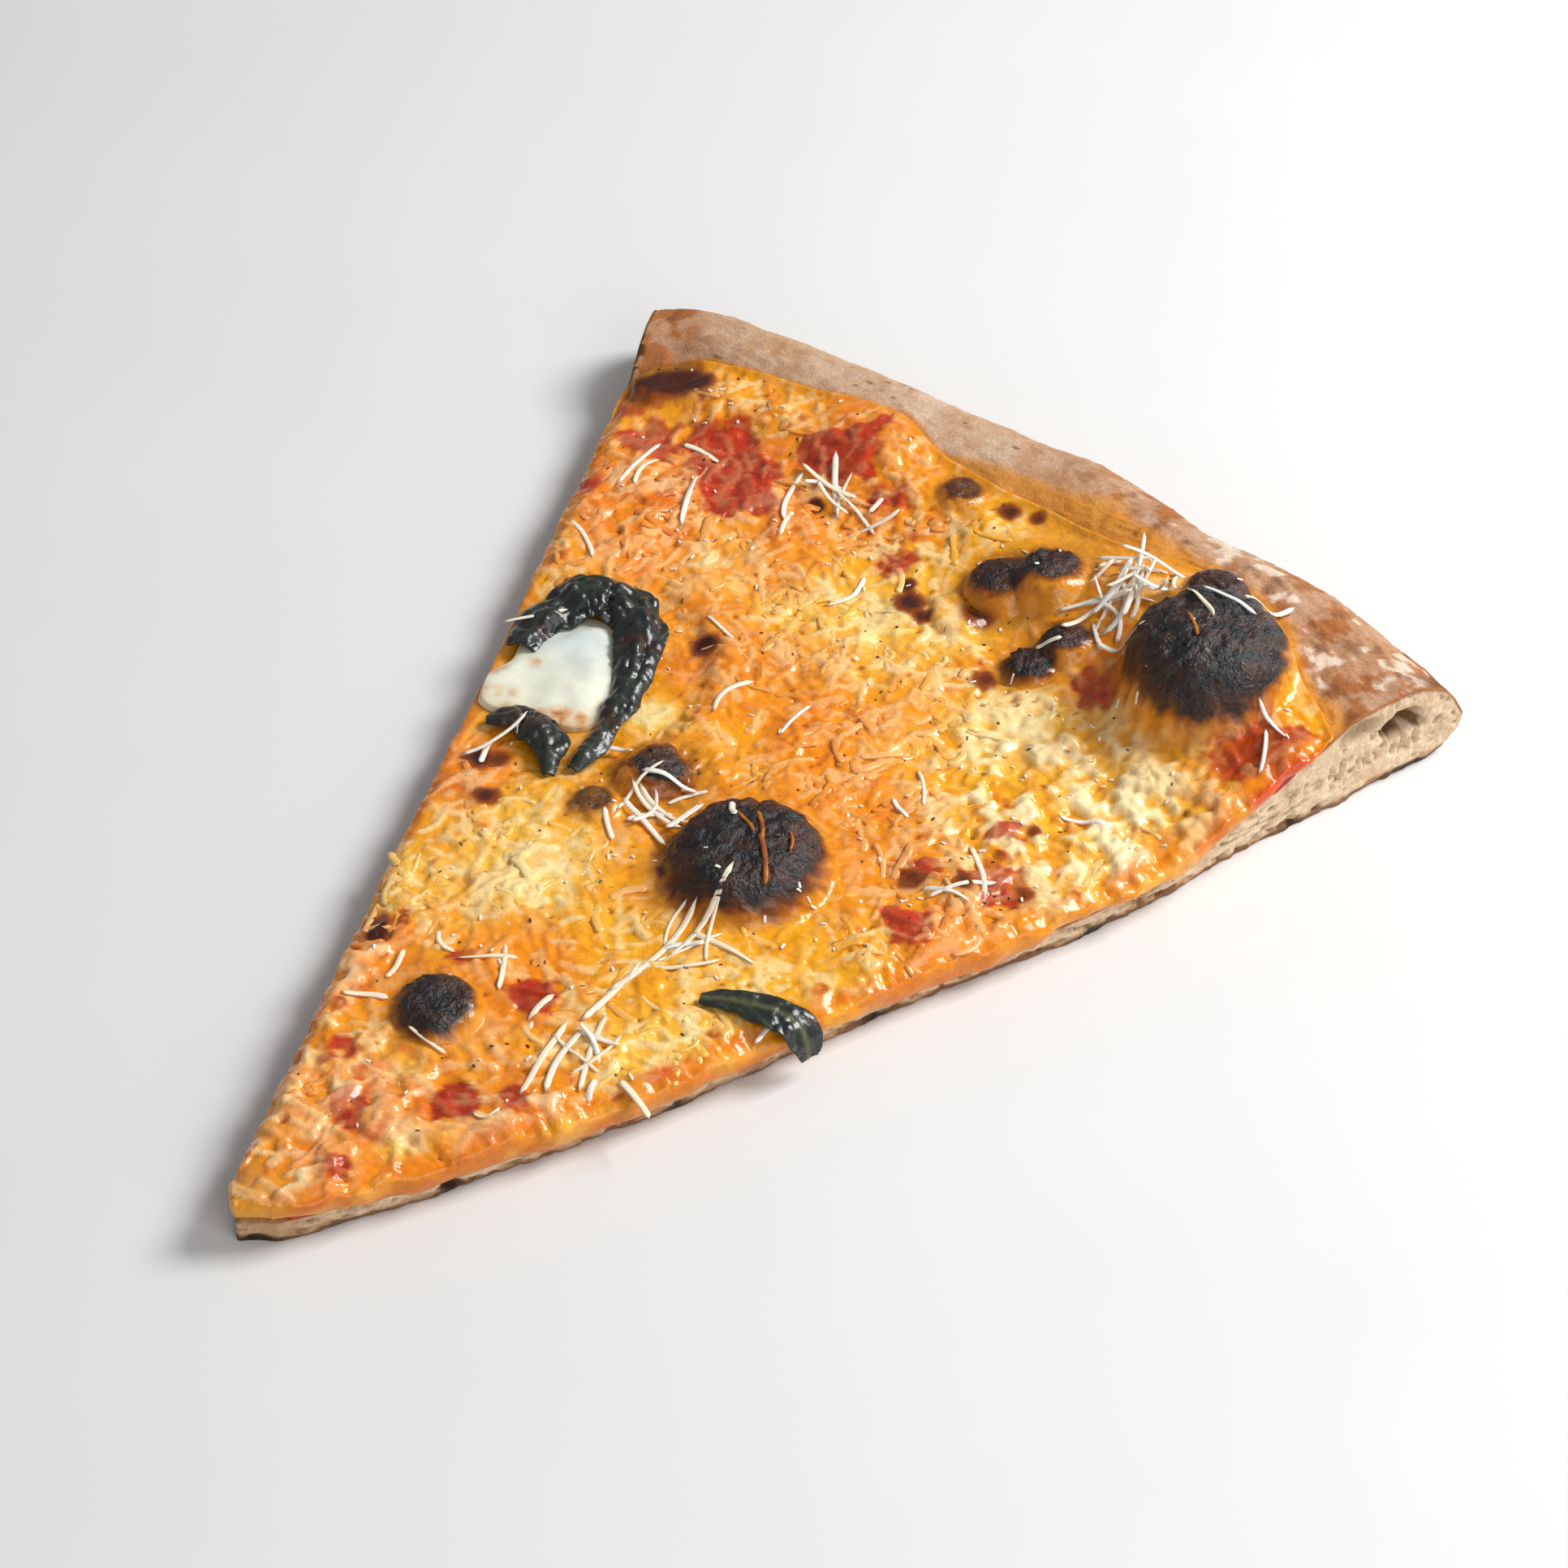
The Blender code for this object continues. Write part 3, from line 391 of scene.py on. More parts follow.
def gathered(x, y):
    """Moves plan points towards the steep ring of each tall blister, so that its side has points enough.

    The share q of the way out to a circle loses a sine wave of q, which is 0 at the middle and on the
    circle and steepest on the ring; it fades out towards the cheese's border.
    """
    fade = smooth_step(to_border(x, y) / 5.0)
    for across, along, radius, rise in BLISTERS:
        if rise < GATHERED_RISE:
            continue
        dx, dy = x - across, y - along
        q = np.clip(np.hypot(dx, dy) / (GATHERED_REACH * radius), 1e-6, 1)
        ring = 1 / (GATHERED_REACH * SIDE_STEEPNESS)
        lost = GATHERING / (2 * np.pi) * (np.sin(2 * np.pi * (q - ring)) + np.sin(2 * np.pi * ring))
        x, y = x - dx * fade * lost / q, y - dy * fade * lost / q
    return x, y


def lumps(x, y):
    """Melted lumps: two crossed waves whose phases wander."""
    wander_x, wander_y = 1.3 * np.sin(y / 9.0), 1.7 * np.sin(x / 8.0)
    first = np.sin(x / SMALL_LUMP[0] + wander_x) * np.sin(y / SMALL_LUMP[1] + wander_y)
    second = np.sin(x / LARGE_LUMP[0] - y / 12.0 + 0.6) * np.cos(y / LARGE_LUMP[1] + x / 15.0)
    return LUMP_RISE * (0.6 * first + 0.6 * second)


def bed_share(x, y):
    """1 in the middle of the bed of the basil and the mozzarella, and 0 outside it."""
    far = np.hypot((x - BED_MIDDLE[0]) / BED_RADII[0], (y - BED_MIDDLE[1]) / BED_RADII[1])
    return smooth_step((BED_RIM - far) / BED_RAMP)


def to_border(x, y):
    """Distance along the slice from a point to the cheese's border with the bare crust."""
    s = share_across(x, y)
    return through(OUTER_EDGE, s) - through(BARE_CRUST, s) - y


def to_cut(x, y):
    """Distance across the slice from a point to the nearer cut."""
    return np.minimum(x - through(LEFT_CUT, y), through(RIGHT_CUT, y) - x)


def flat_cheese_top(x, y):
    """Height of the cheese without its blisters: the dough, the sauce, and its own thickness and lumps."""
    border = to_border(x, y)
    full = smooth_step(BORDER_SHARE + (1 - BORDER_SHARE) * border / CHEESE_THINNING)
    thickness = CHEESE_THICKNESS * full + lumps(x, y) * full
    rounding = CUT_ROUNDING * np.clip(1 - to_cut(x, y) / CUT_ROUNDING_WIDTH, 0, 1) ** 2
    under = dough_top(x, y) + LAYER_GAP + (SAUCE_THICKNESS + LAYER_GAP) * smooth_step(border / SAUCE_THINNING)
    return under + np.maximum(thickness - rounding, LEAST_CHEESE)


def cheese_top(x, y):
    """Height of the cheese with its blisters, sunk to the bed of the basil and the mozzarella."""
    height = puff_up(x, y, flat_cheese_top)
    return height + (BED_HEIGHT - height) * bed_share(x, y)


def scorched(x, y, beyond=0.0, ramp=0.07):
    """How charred the cheese is: 1 inside the caps and 0 outside, ragged, out to a share of the skirts."""
    black = np.zeros(np.shape(x))
    over = y + dome_rise(x, y)
    ragged = 0.07 * clouds(x, over, 2.4, 71) + 0.03 * cloud(x, over, 6.0, 75)
    for across, along, wide, deep, darkness, skirt in CHARRED:
        dx, dy = x - across, y - along
        u = (dx * VIEW_RIGHT[0] + dy * VIEW_RIGHT[1]) / wide
        v = (dx * VIEW_BACK[0] + dy * VIEW_BACK[1]) / deep
        far = np.hypot(u, v)
        black = np.maximum(black, darkness * smooth_step((1 + beyond * skirt - far + ragged) / ramp))
    return black


class Chart:
    """Heights and shades on a square net over the slice's plan, for marks that are laid one over another."""

    def __init__(self, low, high, step):
        self.low = low
        self.step = step
        self.x = np.arange(low[0], high[0], step)
        self.y = np.arange(low[1], high[1], step)
        self.height = np.zeros((len(self.y), len(self.x)))
        self.shade = np.full((len(self.y), len(self.x)), 0.5)
        self.toast = np.zeros((len(self.y), len(self.x)))

    def window(self, x_low, x_high, y_low, y_high):
        """The part of the net inside these limits, as an index and its points."""
        columns = slice(*np.searchsorted(self.x, (x_low, x_high)))
        rows = slice(*np.searchsorted(self.y, (y_low, y_high)))
        x, y = np.meshgrid(self.x[columns], self.y[rows])
        return (rows, columns), x, y

    def lay(self, where, new, shade):
        """Where the new height is above the old one, it and its shade take its place."""
        above = new > self.height[where]
        self.height[where] = np.where(above, new, self.height[where])
        self.shade[where] = np.where(above, shade, self.shade[where])

    def strand(self, x0, y0, x1, y1, bow, half, rise, shade):
        """A melted strand: half an ellipse across, rounded at its ends, along a parabola of that bow."""
        dx, dy = x1 - x0, y1 - y0
        length = math.hypot(dx, dy)
        reach = half + abs(bow) + self.step
        where, x, y = self.window(
            min(x0, x1) - reach, max(x0, x1) + reach, min(y0, y1) - reach, max(y0, y1) + reach
        )
        u = ((x - x0) * dx + (y - y0) * dy) / length
        v = ((y - y0) * dx - (x - x0) * dy) / length
        share = np.clip(u / length, 0, 1)
        past = np.maximum(0, np.maximum(-u, u - length))
        off = np.hypot(v - 4 * bow * share * (1 - share), past) / half
        self.lay(where, rise * np.sqrt(np.clip(1 - off**2, 0, 1)), shade)

    def bead(self, x0, y0, radius, rise, shade):
        """A round bead of melted cheese: the top of a ball."""
        where, x, y = self.window(x0 - radius, x0 + radius, y0 - radius, y0 + radius)
        off = np.hypot(x - x0, y - y0) / radius
        self.lay(where, rise * np.sqrt(np.clip(1 - off**2, 0, 1)), shade)

    def bubble(self, x0, y0, radius, rise, dark):
        """A small blister: a bead, toasted on its slope."""
        self.bead(x0, y0, radius, rise, 0.35)
        where, x, y = self.window(x0 - 2 * radius, x0 + 2 * radius, y0 - 2 * radius, y0 + 2 * radius)
        off = np.hypot(x - x0, y - y0) / radius
        blotch = dark * np.exp(-(((off - 0.5) / 0.5) ** 2))
        self.toast[where] = np.maximum(self.toast[where], blotch)

    def pit(self, x0, y0, radius, depth):
        """A small toasted pit with a raised rim: a bell pressed in."""
        where, x, y = self.window(x0 - 3 * radius, x0 + 3 * radius, y0 - 3 * radius, y0 + 3 * radius)
        off = np.hypot(x - x0, y - y0) / radius
        dip = np.exp(-(off**2))
        self.height[where] -= depth * dip
        self.shade[where] += (-1.0 - self.shade[where]) * dip

    def at(self, values, x, y):
        """Values between the net's points, mixed from the nearest four."""
        u = np.clip((x - self.low[0]) / self.step, 0, len(self.x) - 1.001)
        v = np.clip((y - self.low[1]) / self.step, 0, len(self.y) - 1.001)
        i, j = u.astype(int), v.astype(int)
        p, q = u - i, v - j
        near = values[j, i] * (1 - p) + values[j, i + 1] * p
        far = values[j + 1, i] * (1 - p) + values[j + 1, i + 1] * p
        return near * (1 - q) + far * q


def melted_chart():
    """The cheese's chart: beads, strands melted in at every angle, toasted bubbles and toasted pits."""
    chart = Chart(CHART_LOW, CHART_HIGH, CHART_STEP)
    draw = np.random.default_rng(CHART_SEED)

    def places(count):
        """Plan places strewn evenly over the cheese: t is a root, since the slice widens from its tip."""
        s, t = draw.uniform(0, 1, count), np.sqrt(draw.uniform(0, 1, count))
        return np.stack(plan(s, t), 1)

    for x, y in places(BEAD_COUNT):
        chart.bead(x, y, draw.uniform(*BEAD_RADIUS), draw.uniform(*BEAD_RISE), draw.uniform(0.1, 0.9))
    for x, y in places(STRAND_COUNT):
        turn = draw.uniform(0, np.pi)
        half_length = draw.uniform(*STRAND_LENGTH) / 2
        dx, dy = half_length * math.cos(turn), half_length * math.sin(turn)
        half, rise = draw.uniform(*STRAND_HALF), draw.uniform(*STRAND_RISE)
        bow, shade = draw.normal(0, STRAND_BOW), draw.uniform(0.0, 1.0)
        chart.strand(x - dx, y - dy, x + dx, y + dy, bow, half, rise, shade)
    for x, y in places(BUBBLE_COUNT):
        radius, rise = draw.uniform(*BUBBLE_RADIUS), draw.uniform(*BUBBLE_RISE)
        chart.bubble(x, y, radius, rise, draw.uniform(0.2, 1.0) ** 1.5)
    for x, y in places(PIT_COUNT):
        chart.pit(x, y, draw.uniform(*PIT_RADIUS), draw.uniform(*PIT_DEPTH))
    return chart


melted = melted_chart()


def ridges(x, y):
    """How far inside their patch, and the height of the ridges: noise stretched towards the right cut."""
    u, v = (x - RIDGE_MIDDLE[0]) / RIDGE_RADII[0], (y - RIDGE_MIDDLE[1]) / RIDGE_RADII[1]
    inside = np.exp(-(np.hypot(u, v) ** 4))
    along, off = RIDGE_WAY[0] * x + RIDGE_WAY[1] * y, RIDGE_WAY[0] * y - RIDGE_WAY[1] * x
    wavy = off + 0.8 * cloud(x, y, 7.0, 37)
    drawn = 0.8 * cloud(along / 1.7, wavy, 3.1, 35) + 0.5 * cloud(along, off, 1.7, 36)
    return inside, np.clip(1.3 * drawn, -0.8, 0.75)


def tip_lumps(x, y):
    """Round lumps of cheese near the tip and down the left side, from 0 to 1."""
    where = np.maximum(smooth_step((62 - y) / 14), 0.8 * patches(LUMPY_PLACES, x, y))
    return where * smooth_step((clouds(x, y, 3.9, 231, 2) - 0.02) / 0.3)


def calmness(x, y):
    """How smooth and glossy the cheese is, from 0 to 1."""
    return patches(CALM_PLACES, x, y, 0.15, 62)


def cheese_detail(x, y):
    """Relief on the cheese: strands and beads outside calm places, ridges, lumps, and creases in the char."""
    calm = calmness(x, y)
    char = scorched(x, y)
    plain = (1 - char) * (1 - 0.5 * calm)
    strands = melted.at(melted.height, x, y) * (1 - 0.85 * calm) * (1 - char)
    soft = (0.5 * clouds(x, y, 5.0, 21) + 0.06 * cloud(x, y, 1.3, 24)) * plain
    inside, drawn = ridges(x, y)
    over = y + dome_rise(x, y)
    crease = 0.5 * np.abs(cloud(x + 0.6 * over, over - 0.4 * x, 1.9, 41))
    crease += 0.35 * np.abs(cloud(x, over, 0.95, 42))
    blistered = (0.6 * clouds(x, over, 3.4, 43) - 1.5 * crease + 0.5) * char
    return strands + soft + inside * drawn + 0.7 * tip_lumps(x, y) * plain + blistered


def bordered_detail(x, y):
    """The relief on the cheese, lower within 3 mm of its border with the bare crust."""
    return cheese_detail(x, y) * smooth_step(0.3 + to_border(x, y) / 4.0)


def cheese_surface(x, y):
    """Height of the finished cheese."""
    return cheese_top(x, y) + bordered_detail(x, y)


def cheese_points(x, y):
    """Points of the finished cheese: relief stands out squarely from slopes, and straight up by the edges."""
    step = SLOPE_STEP
    slope_x = (cheese_top(x + step, y) - cheese_top(x - step, y)) / (2 * step)
    slope_y = (cheese_top(x, y + step) - cheese_top(x, y - step)) / (2 * step)
    sideways = smooth_step(to_cut(x, y) / 3.0) * smooth_step(to_border(x, y) / 4.0)
    long = np.sqrt(1 + slope_x**2 + slope_y**2)
    out = bordered_detail(x, y)
    share = sideways * out / long
    z = cheese_top(x, y) + out * (1 - sideways + sideways / long)
    return np.stack([x - share * slope_x, y - share * slope_y, z], -1)


def dough_relief(x, y):
    """Relief on the bare crust: slow swells, small bubbles, knobs towards the right cut, fine wrinkles."""
    knobbly = smooth_step((share_across(x, y) - 0.45) / 0.3)
    swell = 0.5 * clouds(x, y, 11.0, 81) + 0.55 * knobbly * clouds(x, y, 4.6, 88)
    bubbles = 0.35 * np.maximum(0, clouds(x, y, 3.0, 84)) + 0.12 * cloud(x, y, 1.3, 87)
    wrinkles = -(0.15 + 0.3 * knobbly) * np.abs(cloud(x + 0.5 * y, 1.6 * y, 2.4, 90))
    return swell + bubbles + wrinkles


def top_of_anything(x, y):
    """Height of whatever is on top: the cheese inside its border, and the bare crust outside it."""
    inside = to_border(x, y) > 0
    return np.where(inside, cheese_surface(x, y), dough_top(x, y) + dough_relief(x, y))


class Skin:
    """Points, zones, and faces of one piece, in millimetres."""

    def __init__(self):
        self.points = np.zeros((0, 3))
        self.zones = np.zeros(0)
        self.quads = []
        self.triangles = []

    def place(self, points, zone=0.0):
        """Adds points of any number of rows and columns, and gives their numbers in the same order."""
        points = np.asarray(points, float)
        flat = points.reshape(-1, 3)
        numbers = np.arange(len(flat)) + len(self.points)
        self.points = np.vstack([self.points, flat])
        self.zones = np.append(self.zones, np.broadcast_to(zone, points.shape[:-1]))
        return numbers.reshape(points.shape[:-1])

    def sheet(self, points, zone=0.0, turned=False):
        """A lattice of points with four-sided faces, seen from the side where its rows run anticlockwise."""
        numbers = self.place(points, zone)
        self.cells(numbers, turned)
        return numbers

    def cells(self, numbers, turned=False):
        """Four-sided faces between the points of a lattice of numbers."""
        near, far = numbers[:-1], numbers[1:]
        found = np.stack([near[:, :-1], near[:, 1:], far[:, 1:], far[:, :-1]], -1).reshape(-1, 4)
        self.quads.append(found[:, ::-1] if turned else found)

    def tubes(self, rings, zone=0.0):
        """Tubes from an array of tubes, rings and corners; a ring runs anticlockwise from the tube's end."""
        numbers = self.place(rings, zone)
        around = np.concatenate([numbers, numbers[:, :, :1]], 2)
        found = [around[:, :-1, :-1], around[:, :-1, 1:], around[:, 1:, 1:], around[:, 1:, :-1]]
        self.quads.append(np.stack(found, -1).reshape(-1, 4))

    def zip(self, lower, upper, turned=False):
        """Triangles between two lines of any counts: a step on one meets the other where it stands then."""
        m, n = len(lower) - 1, len(upper) - 1
        i, j = np.arange(m), np.arange(n)
        upper_then = np.ceil((i + 1) * n / m).astype(int) - 1
        lower_then = np.floor((j + 1) * m / n).astype(int)
        found = np.vstack([
            np.stack([lower[i], lower[i + 1], upper[upper_then]], 1),
            np.stack([lower[lower_then], upper[j + 1], upper[j]], 1),
        ])
        self.triangles.append(found[:, ::-1] if turned else found)

    def fill(self, inner, front, right, back, left, turned=False):
        """Closes a coarse lattice to the four finer lines round it; right and left run from front to back."""
        self.cells(inner, turned)
        self.zip(front, inner[0], turned)
        self.zip(right, inner[:, -1], turned)
        self.zip(inner[-1], back, turned)
        self.zip(inner[:, 0], left, turned)

    def joined(self):
        """Points that share a place become one, and faces that lose a corner by it become triangles or go."""
        _, first, same = np.unique(np.round(self.points, 4), axis=0, return_index=True, return_inverse=True)
        same = same.reshape(-1)
        quads = same[np.vstack(self.quads)] if self.quads else np.zeros((0, 4), int)
        triangles = [same[np.vstack(self.triangles)]] if self.triangles else []
        flat = (quads == np.roll(quads, -1, 1)).any(1)
        bent = quads[flat]
        for corner in range(4):
            merged = bent[:, corner] == bent[:, (corner + 1) % 4]
            keep = [k for k in range(4) if k != corner]
            triangles.append(bent[merged][:, keep])
            bent = bent[~merged]
        triangles = np.vstack(triangles) if triangles else np.zeros((0, 3), int)
        whole = (triangles != np.roll(triangles, -1, 1)).all(1)
        return self.points[first], self.zones[first], quads[~flat], triangles[whole]

    def to_object(self, name, finish, tint, char=None):
        """Makes the Blender object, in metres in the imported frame, with colour and char at every point."""
        points, zones, quads, triangles = self.joined()
        mesh = bpy.data.meshes.new(name)
        mesh.vertices.add(len(points))
        moved = (points - (*PLAN_MIDDLE, 0.0)) * MM
        mesh.vertices.foreach_set("co", moved.astype(np.float32).ravel())
        corners = np.concatenate([quads.ravel(), triangles.ravel()])
        mesh.loops.add(len(corners))
        mesh.loops.foreach_set("vertex_index", corners.astype(np.int32))
        starts = np.concatenate([4 * np.arange(len(quads)), quads.size + 3 * np.arange(len(triangles))])
        mesh.polygons.add(len(starts))
        mesh.polygons.foreach_set("loop_start", starts.astype(np.int32))
        mesh.polygons.foreach_set("use_smooth", np.ones(len(starts), bool))
        mesh.update(calc_edges=True)
        mesh.validate()
        colour = np.ones((len(points), 4), np.float32)
        colour[:, :3] = np.clip(tint(points, zones), 0, 1)
        mesh.attributes.new("tint", "FLOAT_COLOR", "POINT").data.foreach_set("color", colour.ravel())
        black = np.zeros(len(points)) if char is None else char(points, zones)
        mesh.attributes.new("char", "FLOAT", "POINT").data.foreach_set("value", black.astype(np.float32))
        mesh.materials.append(finish)
        thing = bpy.data.objects.new(name, mesh)
        bpy.context.scene.collection.objects.link(thing)
        return thing


def rim_of(numbers):
    """The numbers round a lattice, seen from above: front row, right side, back row, left side."""
    front, right, back, left = numbers[0, :], numbers[1:, -1], numbers[-1, -2::-1], numbers[-2:0:-1, 0]
    return np.concatenate([front, right, back, left, front[:1]])


def outward(points):
    """Outward direction in plan at each point of a closed loop that runs anticlockwise."""
    ring = points[:-1, :2]
    along = np.roll(ring, -1, 0) - np.roll(ring, 1, 0)
    normal = np.stack([along[:, 1], -along[:, 0]], 1)
    normal /= np.maximum(np.linalg.norm(normal, axis=1, keepdims=True), 1e-9)
    return np.vstack([normal, normal[:1]])


# Finishes.


class Finish:
    """One material, its nodes added one by one."""

    def __init__(self, name):
        self.material = bpy.data.materials.new(name)
        self.material.use_nodes = True
        self.tree = self.material.node_tree
        self.shader = self.tree.nodes["Principled BSDF"]
        self.place = self.node("ShaderNodeTexCoord").outputs["Object"]

    def node(self, kind, **settings):
        """A node with these settings; a space in the name of an input is written as an underscore."""
        made = self.tree.nodes.new(kind)
        for name, value in settings.items():
            socket = made.inputs.get(name.replace("_", " "))
            if socket is None:
                setattr(made, name, value)
            else:
                self.set(socket, value)
        return made

    def mark(self, name, output="Fac"):
        """A value that the mesh holds at each point."""
        return self.node("ShaderNodeAttribute", attribute_name=name).outputs[output]

    def noise(self, size, detail=3.0, roughness=0.55):
        """Noise whose features are about that many millimetres across, from 0 to 1."""
        scale = 1.0 / (size * MM)
        made = self.node(
            "ShaderNodeTexNoise", Vector=self.place, Scale=scale, Detail=detail, Roughness=roughness
        )
        return made.outputs["Fac"]

    def ramp(self, value, low, high, start=0.0, end=1.0):
        """A value spread from the range start..end to low..high."""
        made = self.node(
            "ShaderNodeMapRange", Value=value, From_Min=start, From_Max=end, To_Min=low, To_Max=high
        )
        return made.outputs["Result"]

    def set(self, socket, value):
        """Links a socket to a node's output, or sets its constant."""
        if isinstance(value, bpy.types.NodeSocket):
            self.tree.links.new(value, socket)
        else:
            socket.default_value = value

    def mix(self, first, second, share, blend_type="MIX"):
        """Two colours mixed by a share."""
        made = self.node("ShaderNodeMix", data_type="RGBA", blend_type=blend_type)
        sockets = [socket for socket in made.inputs if socket.type == "RGBA"]
        self.set(made.inputs[0], share)
        self.set(sockets[0], first)
        self.set(sockets[1], second)
        return next(socket for socket in made.outputs if socket.type == "RGBA")

    def grey(self, value):
        """A value as a grey colour."""
        return self.node("ShaderNodeCombineColor", Red=value, Green=value, Blue=value).outputs["Color"]

    def bump(self, height, depth):
        """A bump of that many millimetres between heights 0 and 1."""
        made = self.node("ShaderNodeBump", Height=height, Distance=depth * MM, Strength=1.0)
        return made.outputs["Normal"]

    def grained(self, noise, low, high):
        """The colour that the mesh holds, broken by noise between a darker and a lighter share of itself."""
        grain = self.grey(self.ramp(noise, low, high, 0.3, 0.7))
        return self.mix(self.mark("tint", "Color"), grain, 1.0, "MULTIPLY")

    def into(self, **inputs):
        """Sets or links the shader's inputs."""
        for name, value in inputs.items():
            self.set(self.shader.inputs[name.replace("_", " ")], value)
        return self.material


def cheese_finish():
    """Melted cheese: its colours broken by fine grain, wet with oil except where it is charred."""
    f = Finish("melted_cheese")
    char = f.mark("char")
    wet = f.ramp(f.noise(2.4, 3.0), 0.15, 0.3, 0.35, 0.65)
    dry = f.ramp(f.noise(0.6, 3.0), 0.22, 0.5, 0.3, 0.7)
    rough = f.node("ShaderNodeMix", data_type="FLOAT", Factor=char, A=wet, B=dry)
    depth = f.ramp(char, 0.06 * MM, 0.75 * MM)
    soft = f.bump(f.noise(2.0, 2.0), 0.3)
    fine = f.node("ShaderNodeBump", Height=f.noise(1.1, 4.0, 0.6), Distance=depth, Normal=soft)
    return f.into(
        Base_Color=f.grained(f.noise(1.1, 3.0), 0.9, 1.08),
        Roughness=rough.outputs[0],
        Normal=fine.outputs["Normal"],
        Subsurface_Weight=f.ramp(char, 0.12, 0.0),
        Subsurface_Radius=(1.0, 0.45, 0.15),
        Subsurface_Scale=0.0012,
        Specular_IOR_Level=f.ramp(char, 0.25, 0.6),
        Coat_Weight=f.ramp(char, 0.35, 0.0),
        Coat_Roughness=0.07,
    )


def dough_finish():
    """Baked dough: matt, with flour as fine pale grain."""
    f = Finish("baked_dough")
    return f.into(
        Base_Color=f.grained(f.noise(0.6, 5.0, 0.7), 0.74, 1.24),
        Roughness=f.ramp(f.noise(1.5), 0.62, 0.92, 0.3, 0.7),
        Normal=f.bump(f.noise(0.5, 4.0, 0.65), 0.16),
        Subsurface_Weight=0.05,
        Subsurface_Radius=(1.0, 0.6, 0.35),
        Subsurface_Scale=0.001,
        Specular_IOR_Level=0.3,
    )


# Moist finishes, as (the grain's darkest share, least and most roughness, size of the grain, oily coat, how
# much light goes in, depth of the bump).
WET_FINISHES = {
    "sauce": (0.7, 0.2, 0.5, 1.4, 0.4, 0.1, 0.25),
    "mozzarella": (0.96, 0.14, 0.26, 3.0, 0.6, 0.25, 0.08),
    "baked_basil": (0.6, 0.22, 0.45, 1.0, 0.35, 0.0, 0.2),
    "half_melted_cheese": (0.92, 0.18, 0.34, 1.2, 0.4, 0.1, 0.1),
    "toasted_cheese": (0.75, 0.35, 0.6, 0.7, 0.1, 0.0, 0.1),
    "grated_flecks": (0.85, 0.4, 0.6, 0.8, 0.1, 0.2, 0.06),
    "herbs_and_char": (0.7, 0.4, 0.7, 0.6, 0.1, 0.0, 0.06),
    "hard_cheese": (0.94, 0.35, 0.55, 1.0, 0.15, 0.3, 0.05),
}


def wet_finish(name):
    """A moist piece: its own colours with grain, gloss that comes and goes, and a soft bump."""
    f = Finish(name)
    grain_low, rough_low, rough_high, size, coat, subsurface, depth = WET_FINISHES[name]
    return f.into(
        Base_Color=f.grained(f.noise(size, 4.0), grain_low, 1.12),
        Roughness=f.ramp(f.noise(1.3 * size), rough_low, rough_high, 0.3, 0.7),
        Normal=f.bump(f.noise(size, 3.0), depth),
        Subsurface_Weight=subsurface,
        Subsurface_Radius=(1.0, 0.7, 0.45),
        Subsurface_Scale=0.0015,
        Coat_Weight=coat,
        Coat_Roughness=0.12,
    )


# The dough.


# Large pores of the crumb on a cut, as (along, height, half their width, half their height, depth).
LARGE_PORES = (
    (195.6, 11.4, 4.3, 3.1, 6.8), (187.0, 14.2, 5.0, 2.4, 0.8), (199.8, 9.5, 1.3, 1.1, 2.2),
    (203.4, 8.8, 0.8, 0.7, 1.2), (27.0, 1.5, 1.8, 1.1, 1.6),
)
# Upright pores under them, in a row from there at that step; round ones in the crust; flat ones in the base.
ROW_PORES = 13
ROW_START = 181.0
ROW_STEP = 1.5
ROW_HEIGHT = 7.1
ROUND_PORES = 60
FLAT_PORES = 460
PORE_SEED = 21
PORE_STEP = 0.15
# How far the pores of the left cut are moved along from those of the right.
LEFT_SHIFT = 3.0


def wall_chart():
    """Pores of the crumb on a cut, as (along, height): half ellipsoids, large in the crust only."""
    chart = Chart((0.0, 0.0), (222.0, 20.0), PORE_STEP)
    draw = np.random.default_rng(PORE_SEED)
    holes = list(LARGE_PORES)
    for step in range(ROW_PORES):
        along = ROW_START + ROW_STEP * step + draw.uniform(-0.7, 0.7)
        tall = draw.uniform(0.6, 1.8)
        height, wide = ROW_HEIGHT + draw.uniform(-1.3, 1.5), draw.uniform(0.35, 0.75)
        holes.append((along, height, wide, tall, draw.uniform(0.9, 2.0)))
    round_limits = ((172.0, 207.0), (1.6, 17.0), (0.25, 0.6), (0.25, 0.6), (0.5, 1.1))
    holes += [tuple(draw.uniform(*limits) for limits in round_limits) for _ in range(ROUND_PORES)]
    for _ in range(FLAT_PORES):
        wide = draw.uniform(0.3, 1.2)
        along, height, flat = (draw.uniform(*limits) for limits in ((0.0, 180.0), (0.8, 8.0), (0.35, 0.7)))
        holes.append((along, height, wide, wide * flat, draw.uniform(0.4, 1.2)))
    for along, height, wide, tall, depth in holes:
        where, u, v = chart.window(along - wide, along + wide, height - tall, height + tall)
        off = np.hypot((u - along) / wide, (v - height) / tall)
        chart.lay(where, depth * np.sqrt(np.clip(1 - off**2, 0, 1)), 1.0)
    return chart


def crust_stations():
    """Shares along of the dough's stations: even on the base, closing up towards the outer edge."""
    base = np.linspace(0, BASE_END, BASE_STATIONS + 1)
    border = np.linspace(BASE_END, 1, BORDER_STATIONS + 1)[1:]
    crust = 1 + np.sin(np.linspace(0, np.pi / 2, CRUST_STATIONS + 1))[1:]
    return np.concatenate([base, border, crust])


